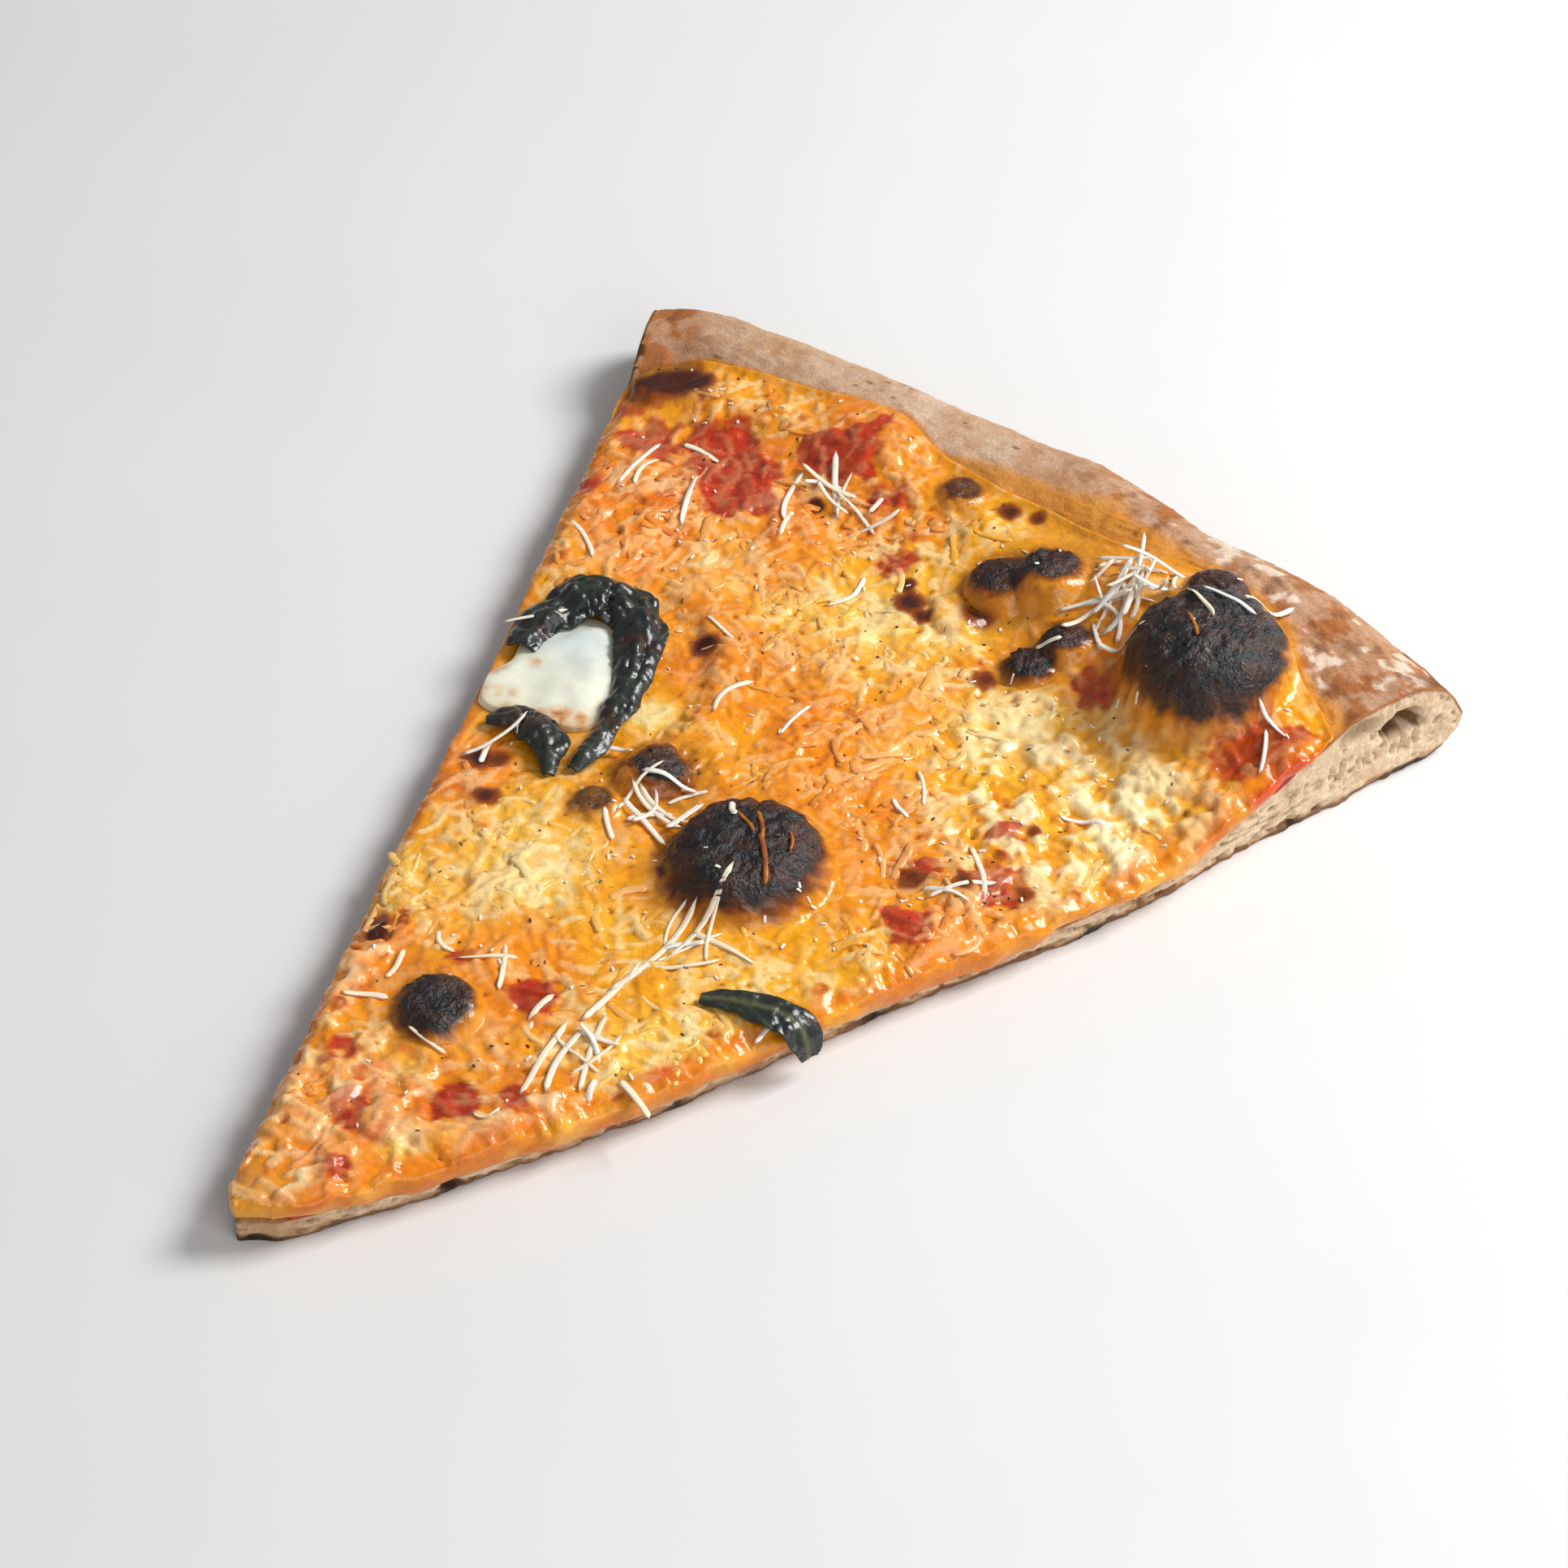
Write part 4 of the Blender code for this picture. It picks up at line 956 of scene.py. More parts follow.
def dough_ends(s, t):
    """Plan place, lower height and upper height of the dough at shares s and t."""
    x, y = plan(s, t)
    low = dough_underside(s, through(OUTER_EDGE, s) - y)
    bare = smooth_step((t - 0.93) / 0.07) * smooth_step((2 - t) / 0.1)
    return x, y, low, dough_top(x, y) + dough_relief(x, y) * bare


def cut_wall(skin, side, stations, pores):
    """A cut side: rows from the underside to the top, pressed in by pores and noise, its low edge ragged."""
    x, y, low, high = dough_ends(np.full(stations.shape, float(side)), stations)
    share = np.linspace(0, 1, WALL_ROWS + 1)[:, None]
    z = low + (high - low) * share
    cut = RIGHT_CUT if side else LEFT_CUT
    slope = through(cut, y + 0.5) - through(cut, y - 0.5)
    normal = np.stack([np.ones_like(slope), -slope]) / np.hypot(1, slope) * (1 if side else -1)
    height = high - low
    inside = smooth_step(share * height / 0.8) * smooth_step((1 - share) * height / 0.8)
    wide = np.broadcast_to(y, z.shape)
    rough = 0.22 * cloud(wide, z, 0.9, 51 + side) + 0.35 * clouds(wide, z, 4.5, 54 + side)
    press = pores.at(pores.height, wide + LEFT_SHIFT * (1 - side), z) + rough
    rag = 0.5 * clouds(wide, z, 1.8, 57 + side) + 0.5 * cloud(wide, z, 6.0, 59 + side) - 0.1
    press = press * inside - rag * (1 - smooth_step(share * height / 1.6)) * smooth_step(height / 2.0)
    press *= smooth_step((y - through(TIP_EDGE, float(side))) / 4.0) * smooth_step((2 - stations) / 0.05)
    points = np.stack([x - normal[0] * press, y - normal[1] * press, z], -1)
    return skin.sheet(points, zone=CUT_ZONE, turned=not side)


def crumb_tint(x, along, up):
    """A cut's colours: pale crumb, painted shade in the pores, brown at the tip, crust and low edge, and
    burnt places.
    """
    side = np.where(x > 0, 1, 0)
    depth = pores_of_crumb.at(pores_of_crumb.height, along + LEFT_SHIFT * (1 - side), up)
    colour = blend(even(CRUMB, x), BAKED, 0.15 + 0.4 * clouds(along, up, 3.0, 113))
    # Painted shade: the pores darken with their depth, and the deepest ones turn nearly black.
    colour = blend(colour, PAINTED_PORE_SHADE, smooth_step(depth / 1.3) * 0.95)
    colour = blend(colour, DARK_CRUST, smooth_step((depth - 2.0) / 2.5) * 0.8)
    colour = blend(colour, BAKED, 0.7 * smooth_step((12.0 - along) / 8.0))
    colour = blend(colour, BROWN_CRUST, smooth_step((up - dough_top(x, along) + 1.1) / 0.8) * (along > 178))
    colour = blend(colour, BAKED, 0.8 * smooth_step((2.2 - up + 0.9 * cloud(along, up, 2.0, 115)) / 1.4))
    edge = smooth_step((1.2 + 1.3 * clouds(along, up, 3.0, 116) - up) / 0.6)
    colour = blend(colour, DARK_CRUST, 0.75 * edge)
    burnt = np.zeros(len(up))
    for middle, reach in BURNT_ALONG:
        burnt = np.maximum(burnt, np.exp(-(((along - middle) / reach) ** 2)))
    ragged = 1.6 + 1.2 * clouds(along, up, 2.2, 118)
    return blend(colour, CHAR, 0.9 * burnt * smooth_step((ragged - up) / 0.8))


def underside_tint(x, y):
    """Browned dough with dark spots and pale floury places."""
    spots = clouds(x, y, 6.0, 120, 4)
    colour = blend(even(BAKED, x), BROWN_CRUST, 0.35 + 1.1 * spots)
    colour = blend(colour, DARK_CRUST, smooth_step((spots - 0.3) / 0.2) * 0.8)
    return blend(colour, FLOUR, smooth_step((-spots - 0.15) / 0.3) * 0.6)


def dough_tint(points, zones):
    """The dough's colours: flour and toast on the bare crust, and those of the cuts and the underside."""
    x, y, z = points.T
    s = share_across(x, y)
    tone = clouds(x, y, 9.0, 101)
    fine = clouds(x, y, 1.8, 104)
    colour = blend(even(BAKED, x), FLOUR, 0.6 + 0.6 * tone + 0.45 * fine)
    # Browner to the right and over the outer edge, tan in the left corner.
    brown = np.interp(s, BROWN_ACROSS, BROWN_SHARE)
    mottle = clouds(x, y, 5.0, 107) + 0.5 * fine
    browned = 0.75 * brown + 0.9 * brown * smooth_step((mottle + 0.05) / 0.35) - 0.1
    colour = blend(colour, BROWN_CRUST, browned)
    colour = blend(colour, DARK_CRUST, 0.7 * brown * smooth_step((clouds(x, y, 3.2, 108) - 0.22) / 0.2))
    # White dusted patches towards the right, oil by the cheese, and brown low down and in the right corner.
    dusted = smooth_step((clouds(x, y, 4.4, 109) + 0.6 * fine - 0.12) / 0.25) * smooth_step((s - 0.55) / 0.2)
    colour = blend(colour, DUSTED, 0.8 * dusted)
    reach = np.interp(s, OILY_ACROSS, OILY_REACH) * (1 + 0.6 * tone)
    oily = smooth_step((reach + to_border(x, y)) / (0.6 * reach + 0.5))
    colour = blend(colour, AMBER, oily * 0.85)
    inward = through(OUTER_EDGE, s) - y
    low = smooth_step((7.5 - z) / 4.0) * smooth_step((3.0 - inward) / 3.0)
    colour = blend(colour, BROWN_CRUST, 0.8 * low)
    corner = smooth_step((s - 0.962) / 0.03) * smooth_step((12.0 - inward) / 7.0)
    colour = blend(colour, DARK_CRUST, 0.9 * corner)
    specks = smooth_step((cloud(x, y, 1.1, 110) - 0.62) / 0.2) * smooth_step((mottle - 0.1) / 0.3)
    colour = blend(colour, DARK_CRUST, 0.8 * specks)
    wall, under = zones == CUT_ZONE, zones == UNDER_ZONE
    colour[wall] = crumb_tint(x[wall], y[wall], z[wall])
    below = underside_tint(x[under], y[under])
    colour[under] = blend(colour[under], below, smooth_step((inward[under] - 0.5) / 5.0))
    return colour


def make_dough(finish):
    """The base and the crust in one closed skin: fine where it shows, coarse under the cheese."""
    skin = Skin()
    stations = crust_stations()
    left = cut_wall(skin, 0, stations, pores_of_crumb)
    right = cut_wall(skin, 1, stations, pores_of_crumb)

    across = np.linspace(0, 1, HIDDEN_COLUMNS + 1)
    share = np.linspace(0, 1, WALL_ROWS + 1)[:, None]
    x, y, low, high = dough_ends(across, 0.0)
    tip = np.stack(np.broadcast_arrays(x, y, low + (high - low) * share), -1)
    tip[..., 1] -= 0.35 * clouds(tip[..., 0], tip[..., 2], 2.0, 64) * np.sin(np.pi * across)
    front = skin.sheet(tip, zone=CUT_ZONE)

    crust = stations[BASE_STATIONS:]
    s, t = np.meshgrid(np.linspace(0, 1, CRUST_COLUMNS + 1), crust)
    x, y, _, high = dough_ends(s, t)
    points = np.stack([x, y, high], -1)
    points[:, 0] = skin.points[left[-1, BASE_STATIONS:]]
    points[:, -1] = skin.points[right[-1, BASE_STATIONS:]]
    top = skin.sheet(points)

    s, t = np.meshgrid(across, crust[:-1])
    x, y, low, _ = dough_ends(s, t)
    points = np.stack([x, y, low], -1)
    points[:, 0] = skin.points[left[0, BASE_STATIONS:-1]]
    points[:, -1] = skin.points[right[0, BASE_STATIONS:-1]]
    under = skin.sheet(points, zone=UNDER_ZONE, turned=True)
    skin.zip(under[-1], top[-1], turned=True)

    s, t = np.meshgrid(across[1:-1], np.linspace(0, BASE_END, HIDDEN_ROWS + 1)[1:-1])
    x, y, low, high = dough_ends(s, t)
    base = slice(0, BASE_STATIONS + 1)
    hidden = skin.place(np.stack([x, y, high], -1))
    skin.fill(hidden, front[-1], right[-1, base], top[0], left[-1, base])
    below = skin.place(np.stack([x, y, low], -1), zone=UNDER_ZONE)
    skin.fill(below, front[0], right[0, base], under[0], left[0, base], turned=True)
    return skin.to_object("baked_dough", finish, dough_tint)


# The sauce.


def sauce_tint(points, zones):
    """Tomato red, brighter in places."""
    x, y, _ = points.T
    return blend(even(SAUCE_RED, x), BRIGHT_RED, 0.5 + 0.9 * clouds(x, y, 4.0, 131))


def make_sauce(finish):
    """A thin layer on the base: two sheets with a bulging rim whose edge runs in and out at the cuts."""
    skin = Skin()
    s, t = np.meshgrid(np.linspace(0, 1, HIDDEN_COLUMNS + 1), np.linspace(*SAUCE_ENDS, SAUCE_ROWS + 1))
    x, y = plan(s, t)
    floor = dough_top(x, y) + LAYER_GAP
    lower = skin.place(np.stack([x, y, floor - 0.1], -1))
    upper = skin.place(np.stack([x, y, floor + SAUCE_THICKNESS], -1))
    skin.cells(lower, turned=True)
    skin.cells(upper)
    loop = rim_of(lower)
    edge = skin.points[loop]
    showing = smooth_step((edge[:, 1] - 155) / 12) * (edge[:, 0] > 0)
    reach = -0.3 + 1.1 * showing + 0.4 * clouds(edge[:, 0], edge[:, 1], 3.0, 133)
    reach[-1] = reach[0]
    middle = edge + np.column_stack([outward(edge) * reach[:, None], np.full(len(edge), 0.45)])
    ring = skin.place(middle[:-1])
    ring = np.append(ring, ring[0])
    skin.cells(np.stack([loop, ring, rim_of(upper)]))
    return skin.to_object("tomato_sauce_layer", finish, sauce_tint)


# The cheese.


def cheese_char(points, zones):
    """How charred the cheese is at each point."""
    x, y, _ = points.T
    return scorched(x, y)


def oil_tint(x, y):
    """The oil between the strands, gold to orange with pale and red places; how red; and how orange."""
    orange = np.clip(0.3 + 0.5 * clouds(x, y, 15.0, 141) + patches(ORANGE_PATCHES, x, y, 0.4, 143), 0, 1)
    pale = patches(PALE_PATCHES, x, y, 0.4, 145)
    colour = blend(even(GOLD, x), ORANGE, orange)
    colour = blend(colour, PALE_YELLOW, 0.75 * pale)
    colour = blend(colour, CREAM, 0.8 * smooth_step((pale + 0.9 * clouds(x, y, 4.2, 144) - 0.65) / 0.3))
    deep = smooth_step((clouds(x, y, 3.6, 148) - 0.1) / 0.45) * (1 - 0.75 * np.clip(pale, 0, 1))
    colour = blend(colour, DEEP_ORANGE, 0.5 * deep * (0.4 + 0.6 * orange))
    stain = patches(STAINS, x, y, 0.6, 146) * (0.75 + 1.1 * clouds(x, y, 4.4, 150))
    colour = blend(colour, STAIN, stain * 0.9)
    red = patches(RED_PATCHES, x, y, 0.5, 147) + 0.55 * clouds(x, y, 3.4, 149)
    soaked = smooth_step((red - 0.48) / 0.24)
    colour = blend(colour, SAUCE_RED, soaked * 0.92)
    return blend(colour, BRIGHT_RED, soaked * smooth_step(clouds(x, y, 2.0, 151) / 0.4) * 0.6), soaked, orange


def lip_tint(x, y, z):
    """The cheese's side at the cuts: smooth, gold to orange, with red under the edge near the crust."""
    colour = blend(even(GOLD, x), DEEP_ORANGE, 0.45 + 0.6 * clouds(y, x, 9.0, 159))
    colour = blend(colour, DEEP_ORANGE, smooth_step((clouds(y, 2 * z, 6.0, 160) + 0.15) / 0.4) * 0.6)
    colour = blend(colour, PALE_YELLOW, smooth_step((clouds(y, z, 8.0, 161) - 0.15) / 0.4) * 0.4)
    return blend(colour, BRIGHT_RED, smooth_step((y - 160) / 5) * smooth_step((181 - y) / 5) * (x > 0) * 0.8)


def cheese_tint(points, zones):
    """The cheese's colours, from gold and orange through pale and red patches to toast and char."""
    x, y, _ = points.T
    relief = melted.at(melted.height, x, y)
    shade = melted.at(melted.shade, x, y)
    calm = calmness(x, y)
    colour, soaked, orange = oil_tint(x, y)
    # Crests of strands and beads are paler than the oil between them.
    crest = smooth_step((relief - 0.1) / 0.22) * (1 - 0.85 * calm) * (1 - 0.75 * soaked)
    crest_tint = blend(even(CREAM, x), PINK_CREAM, smooth_step((orange - 0.3) / 0.5))
    colour = blend(colour, crest_tint, crest * smooth_step((shade - 0.2) / 0.6) * 0.72)
    # Golden oil lies in the low places.
    low = smooth_step((0.12 - relief) / 0.15) * (1 - soaked) * (1 - calm)
    colour = blend(colour, blend(even(GOLD, x), ORANGE, orange - 0.2), 0.55 * low)
    # The ridges are cream with golden furrows, and the lumps cream or the colour of the crests.
    inside, drawn = ridges(x, y)
    colour = blend(colour, RIDGE_CREAM, inside * smooth_step((drawn + 0.05) / 0.5) * 0.9 * (1 - soaked))
    furrow = inside * smooth_step((0.05 - drawn) / 0.45)
    furrow_tint = blend(even(GOLD, x), ORANGE, 1.5 * clouds(x, y, 7.0, 233))
    colour = blend(colour, furrow_tint, furrow * 0.85)
    lump = tip_lumps(x, y) * (1 - 0.85 * calm)
    lump_tint = blend(crest_tint, RIDGE_CREAM, smooth_step(clouds(x, y, 7.0, 234) / 0.3))
    colour = blend(colour, lump_tint, lump * (0.4 + 0.8 * clouds(x, y, 6.0, 232)) * (1 - 0.6 * soaked))
    # Toast: in the pits, on the slopes of bubbles, and in the brown spots; amber on the blisters' domes.
    pits = smooth_step((-0.2 - shade) / 0.5)
    colour = blend(colour, TOAST, pits * 0.85)
    toast = melted.at(melted.toast, x, y) * (0.45 + 1.3 * clouds(x, y, 1.9, 158)) * (1 - calm)
    toast *= 1 - 0.6 * np.clip(patches(PALE_PATCHES, x, y), 0, 1)
    colour = blend(colour, STAIN, smooth_step(toast / 0.5) * 0.7)
    colour = blend(colour, TOAST, smooth_step((toast - 0.35) / 0.5) * 0.85)
    bed = bed_share(x, y)
    over = y + dome_rise(x, y)
    colour = blend(colour, AMBER, 0.6 * calm * (1 - bed) * (0.75 + 0.6 * clouds(x, over, 2.6, 152)))
    brown = patches(BROWN_SPOTS, x, y, 0.35, 153)
    colour = blend(colour, TOAST, smooth_step(brown / 0.35))
    colour = blend(colour, DARK_TOAST, smooth_step((brown - 0.35) / 0.4))
    # Oily orange rims along both cuts, a tan tip, and an amber border with the bare crust.
    border = to_border(x, y)
    uneven = 0.65 + 0.9 * clouds(x, y, 5.0, 236)
    rim_tint = blend(even(ORANGE, x), DEEP_ORANGE, 0.4 + clouds(x, y, 6.0, 237))
    colour = blend(colour, rim_tint, smooth_step((x - through(RIGHT_CUT, y) + 3.6) / 3.0) * uneven)
    colour = blend(colour, rim_tint, smooth_step((through(LEFT_CUT, y) - x + 2.4) / 2.2) * 0.8 * uneven)
    colour = blend(colour, TIP_TAN, 0.8 * smooth_step((9.0 - y) / 6.0) * uneven)
    toasted = smooth_step((2.5 + 2.5 * clouds(x, y, 5.0, 155) - border) / 3.0)
    colour = blend(colour, AMBER, 0.5 * toasted)
    # Around each charred cap the cheese is toasted amber with brown specks, then brown, then black.
    skirt = scorched(x, y, 1.0, 0.2)
    specks = smooth_step((clouds(x, over, 1.7, 156) - 0.05) / 0.35)
    colour = blend(colour, AMBER, skirt * 0.92)
    colour = blend(colour, TOAST, scorched(x, y, 0.8, 0.12) * specks * 0.55)
    colour = blend(colour, TOAST, scorched(x, y, 0.42, 0.1) * (0.6 + 0.4 * specks))
    colour = blend(colour, DARK_TOAST, scorched(x, y, 0.2, 0.08) * (0.7 + 0.3 * specks))
    black = scorched(x, y)
    colour = blend(colour, CHAR, black * (0.95 + 0.25 * cloud(x, over, 1.6, 157)))
    scab = smooth_step((clouds(x, over, 3.2, 235) - 0.12) / 0.2) * (1 - scorched(x, y, -1.2, 0.3))
    colour = blend(colour, DARK_TOAST, black * scab * 0.65)
    side = zones == CUT_ZONE
    colour[side] = blend(colour[side], lip_tint(*points[side].T), np.full(side.sum(), 0.8))
    return colour


def make_cheese(finish):
    """The cheese: a top whose columns double twice from the tip, a hanging lip round it, and an underside."""
    skin = Skin()
    rows_before = 0
    rows_all = sum(CHEESE_ROWS)
    tops = []
    for columns, rows in zip(CHEESE_COLUMNS, CHEESE_ROWS):
        first = rows_before + (1 if tops else 0)
        t = np.arange(first, rows_before + rows + 1) / rows_all
        s, t = np.meshgrid(np.linspace(0, 1, columns + 1), t)
        top = skin.sheet(cheese_points(*gathered(*plan(s, t))))
        if tops:
            skin.zip(tops[-1][-1], top[0])
        tops.append(top)
        rows_before += rows
    lefts, rights = (np.concatenate([top[:, column] for top in tops]) for column in (0, -1))
    loop = np.concatenate([tops[0][0], rights[1:], tops[-1][-1, -2::-1], lefts[-2::-1]])
    edge = skin.points[loop]
    out = outward(edge)
    x, y, z = edge.T
    border = to_border(x, y)
    on_right = smooth_step((share_across(x, y) - 0.98) / 0.02)
    at_right = on_right * smooth_step(y / LIP_RUN_IN) * smooth_step(border / 6.0)
    scallop = 1 + 0.45 * cloud(y, 40 * on_right, 11.0, 163) + 0.3 * cloud(y, 40 * on_right, 4.0, 164)
    lip = (CUT_LIP + (RIGHT_LIP - CUT_LIP) * at_right) * scallop * smooth_step(0.35 + border / 4.0)
    sauce_here = np.where(border > 0.6, SAUCE_THICKNESS + LAYER_GAP, 0.0)
    low = dough_top(x, y) + LAYER_GAP + sauce_here - 0.25
    hang = through(RIGHT_DROOP, y) + 0.5 * cloud(y, 0 * y, 12.0, 165) + 0.5 * clouds(y, 0 * y, 5.0, 166)
    low += (BASE_THICKNESS - hang - low) * smooth_step(hang / 0.5) * at_right
    low = np.minimum(low, z - 0.5)
    previous = loop
    for ring_number in range(1, LIP_RINGS + 1):
        down = ring_number / LIP_RINGS
        reach = lip * (1 - (2 * down - 1) ** 4) - 0.6 * down**6
        drop = z + (low - z) * (0.5 * down + 0.5 * smooth_step(down))
        wrinkle = 0.16 * cloud(y, 3 * drop, 2.2, 167) * np.sin(np.pi * down)
        points = np.column_stack([edge[:, :2] + out * (reach + wrinkle)[:, None], drop])
        ring = skin.place(points[:-1], zone=CUT_ZONE)
        ring = np.append(ring, ring[0])
        skin.cells(np.stack([ring, previous]))
        previous = ring
    # The underside, coarse, a little above the sauce.
    across, along = (np.linspace(0, 1, count + 1)[1:-1] for count in (HIDDEN_COLUMNS // 2, HIDDEN_ROWS))
    x, y = plan(*np.meshgrid(across, along))
    under_border = np.where(to_border(x, y) > 0.6, SAUCE_THICKNESS + LAYER_GAP, 0.0)
    inner = skin.place(np.stack([x, y, dough_top(x, y) + LAYER_GAP + under_border], -1), zone=CUT_ZONE)
    ends = np.cumsum([0, CHEESE_COLUMNS[0], rows_all, CHEESE_COLUMNS[-1], rows_all])
    front, right, back, left = [previous[a : b + 1] for a, b in zip(ends[:-1], ends[1:])]
    skin.fill(inner, front, right, back[::-1], left[::-1], turned=True)
    return skin.to_object("melted_cheese", finish, cheese_tint, cheese_char)


# The mozzarella and the basil.

# The mozzarella's outline, as (angle in degrees from +X, radius).
MOZZARELLA_OUTLINE = (
    (0.0, 11.4), (45.0, 11.8), (90.0, 14.2), (112.0, 15.4), (135.0, 15.0), (165.0, 12.8), (200.0, 12.0),
    (225.0, 16.0), (245.0, 16.0), (262.0, 12.4), (285.0, 12.2), (315.0, 12.6), (345.0, 11.6), (360.0, 11.4),
)
MOZZARELLA_RISE = 1.9
MOZZARELLA_WALL = 0.5
MOZZARELLA_INSET = 0.4
MOZZARELLA_SECTORS = 120
MOZZARELLA_RINGS = 44
# Browned places on it, as (across, along, radius, strength).
MOZZARELLA_BROWN = (
    (-42.2, 119.4, 1.3, 0.5), (-46.8, 114.6, 1.9, 0.7), (-43.9, 110.4, 1.8, 0.6), (-40.6, 112.0, 1.2, 0.5),
    (-30.4, 111.6, 3.0, 0.9), (-27.2, 113.4, 2.2, 0.8), (-37.8, 108.4, 2.0, 0.8), (-46.6, 108.2, 2.4, 0.9),
    (-26.4, 118.6, 1.2, 0.4), (-33.6, 109.9, 2.2, 0.9),
)
# The leaves' middle lines, as (across, along, height over their ground, half width).
CURL_LINE = (
    (-20.4, 103.5, 1.5, 1.0), (-20.6, 108.5, 1.7, 1.8), (-22.6, 116.5, 1.8, 2.3), (-25.6, 125.0, 1.9, 3.2),
    (-29.8, 132.6, 2.3, 4.1), (-35.4, 137.6, 2.6, 4.6), (-41.6, 139.4, 2.6, 4.8), (-46.6, 136.0, 2.1, 4.7),
    (-48.0, 128.8, 1.6, 4.3), (-46.8, 121.0, 1.0, 2.4),
)
LOBE_LINE = (
    (-23.0, 100.4, 0.9, 1.0), (-25.4, 103.6, 1.5, 2.4), (-28.6, 106.4, 1.9, 3.6), (-32.6, 107.6, 1.8, 3.6),
    (-36.8, 106.6, 1.3, 2.6), (-40.0, 104.2, 0.8, 0.9),
)
EDGE_LEAF_LINE = (
    (29.6, 75.6, 9.3, 1.0), (33.8, 77.6, 9.7, 2.1), (38.2, 79.2, 9.8, 2.7), (42.2, 80.3, 9.6, 3.0),
    (45.4, 80.6, 8.6, 3.1), (47.2, 80.3, 6.1, 2.9), (47.6, 80.2, 3.4, 1.6),
)
# Leaves, as (node, middle line, height of their ground, arch across, rows, columns, crumple, ribs, seed).
BED = BED_HEIGHT + LAYER_GAP
LEAVES = {
    "basil_curled_leaf": ("basil_curl", CURL_LINE, BED, 1.7, 170, 44, 1.0, 0.12, 191),
    "basil_lower_leaf": ("basil_lobe", LOBE_LINE, BED, 1.4, 80, 32, 0.85, 0.15, 201),
    "basil_hanging_leaf": ("basil_edge", EDGE_LEAF_LINE, 0.0, 0.4, 80, 28, 0.4, 0.55, 211),
}
LEAF_THICKNESS = 0.45
# The half width from which a leaf arches in full, and the distance between its side ribs.
LEAF_FULL_ARCH = 3.0
VEIN_STEP = 3.1
LEAF_BLACK = (0.009, 0.012, 0.012)
LEAF_GREEN = (0.018, 0.028, 0.016)
LEAF_VEIN = (0.20, 0.20, 0.07)
MILK = (0.80, 0.80, 0.66)
# A bluish tint painted on the mozzarella as a highlight.
PAINTED_SHEEN_BLUE = (0.62, 0.70, 0.68)
MILK_YELLOW = (0.84, 0.72, 0.38)


def mozzarella_tint(points, zones):
    """Creamy white with a painted bluish highlight near its top, yellow towards its edge, browned spots."""
    x, y, z = points.T
    colour = blend(even(MILK, x), MILK_YELLOW, smooth_step((BED_HEIGHT + 2.6 - z) / 2.4) * 0.7)
    # Painted highlight: a bluish spot near the top of the pool stands for the window's reflection.
    colour = blend(colour, PAINTED_SHEEN_BLUE, np.exp(-((np.hypot(x + 40.0, y - 128.0) / 7.0) ** 2)) * 0.9)
    colour = blend(colour, MILK_YELLOW, 0.35 * smooth_step(clouds(x, y, 5.0, 171)))
    brown = patches(MOZZARELLA_BROWN, x, y, 0.8, 173) * (0.75 + 0.7 * clouds(x, y, 1.6, 179))
    colour = blend(colour, AMBER, smooth_step(brown / 0.7) * 0.8)
    colour = blend(colour, AMBER, smooth_step((-46.5 - x + 0.8 * clouds(x, y, 3.0, 174)) / 2.5) * 0.8)
    return blend(colour, DARK_TOAST, smooth_step((brown - 0.55) / 0.45) * 0.8)


def make_mozzarella(finish):
    """A pool with an uneven outline, clipped by the left cut: rings that rise like a ball's top."""
    skin = Skin()
    angles = np.linspace(0, 360, MOZZARELLA_SECTORS + 1)
    radius = through(MOZZARELLA_OUTLINE, angles) * (1 + 0.03 * np.sin(np.radians(7 * angles)))
    turn = np.radians(angles)
    share = np.sin(np.linspace(0, np.pi / 2, MOZZARELLA_RINGS + 1))[::-1, None]
    x = BED_MIDDLE[0] + share * radius * np.cos(turn)
    y = BED_MIDDLE[1] + share * radius * np.sin(turn)
    x = np.maximum(x, through(LEFT_CUT, y) + MOZZARELLA_INSET)
    x[:, -1], y[:, -1] = x[:, 0], y[:, 0]
    rise = MOZZARELLA_RISE * np.sqrt(1 - share**2) + MOZZARELLA_WALL * smooth_step((1 - share) / 0.04)
    uneven = clouds(x, y, 7.5, 175, 2) * smooth_step((1 - share) / 0.3)
    z = BED + rise + uneven
    top = skin.sheet(np.stack([x, y, z], -1))
    middle = skin.place((*BED_MIDDLE, BED))
    skin.triangles.append(np.stack([np.full(MOZZARELLA_SECTORS, middle), top[0, 1:], top[0, :-1]], 1))
    return skin.to_object("mozzarella_pool", finish, mozzarella_tint)


def leaf_tint(points, zones):
    """Nearly black, green and brown in places, with light ribs."""
    x, y, _ = points.T
    tone = clouds(x, y, 4.0, 181)
    colour = blend(even(LEAF_BLACK, x), LEAF_GREEN, 0.2 + 1.1 * tone)
    colour = blend(colour, DARK_TOAST, smooth_step((clouds(x, y, 5.0, 184) - 0.2) / 0.3) * 0.5)
    return blend(colour, LEAF_VEIN, zones)


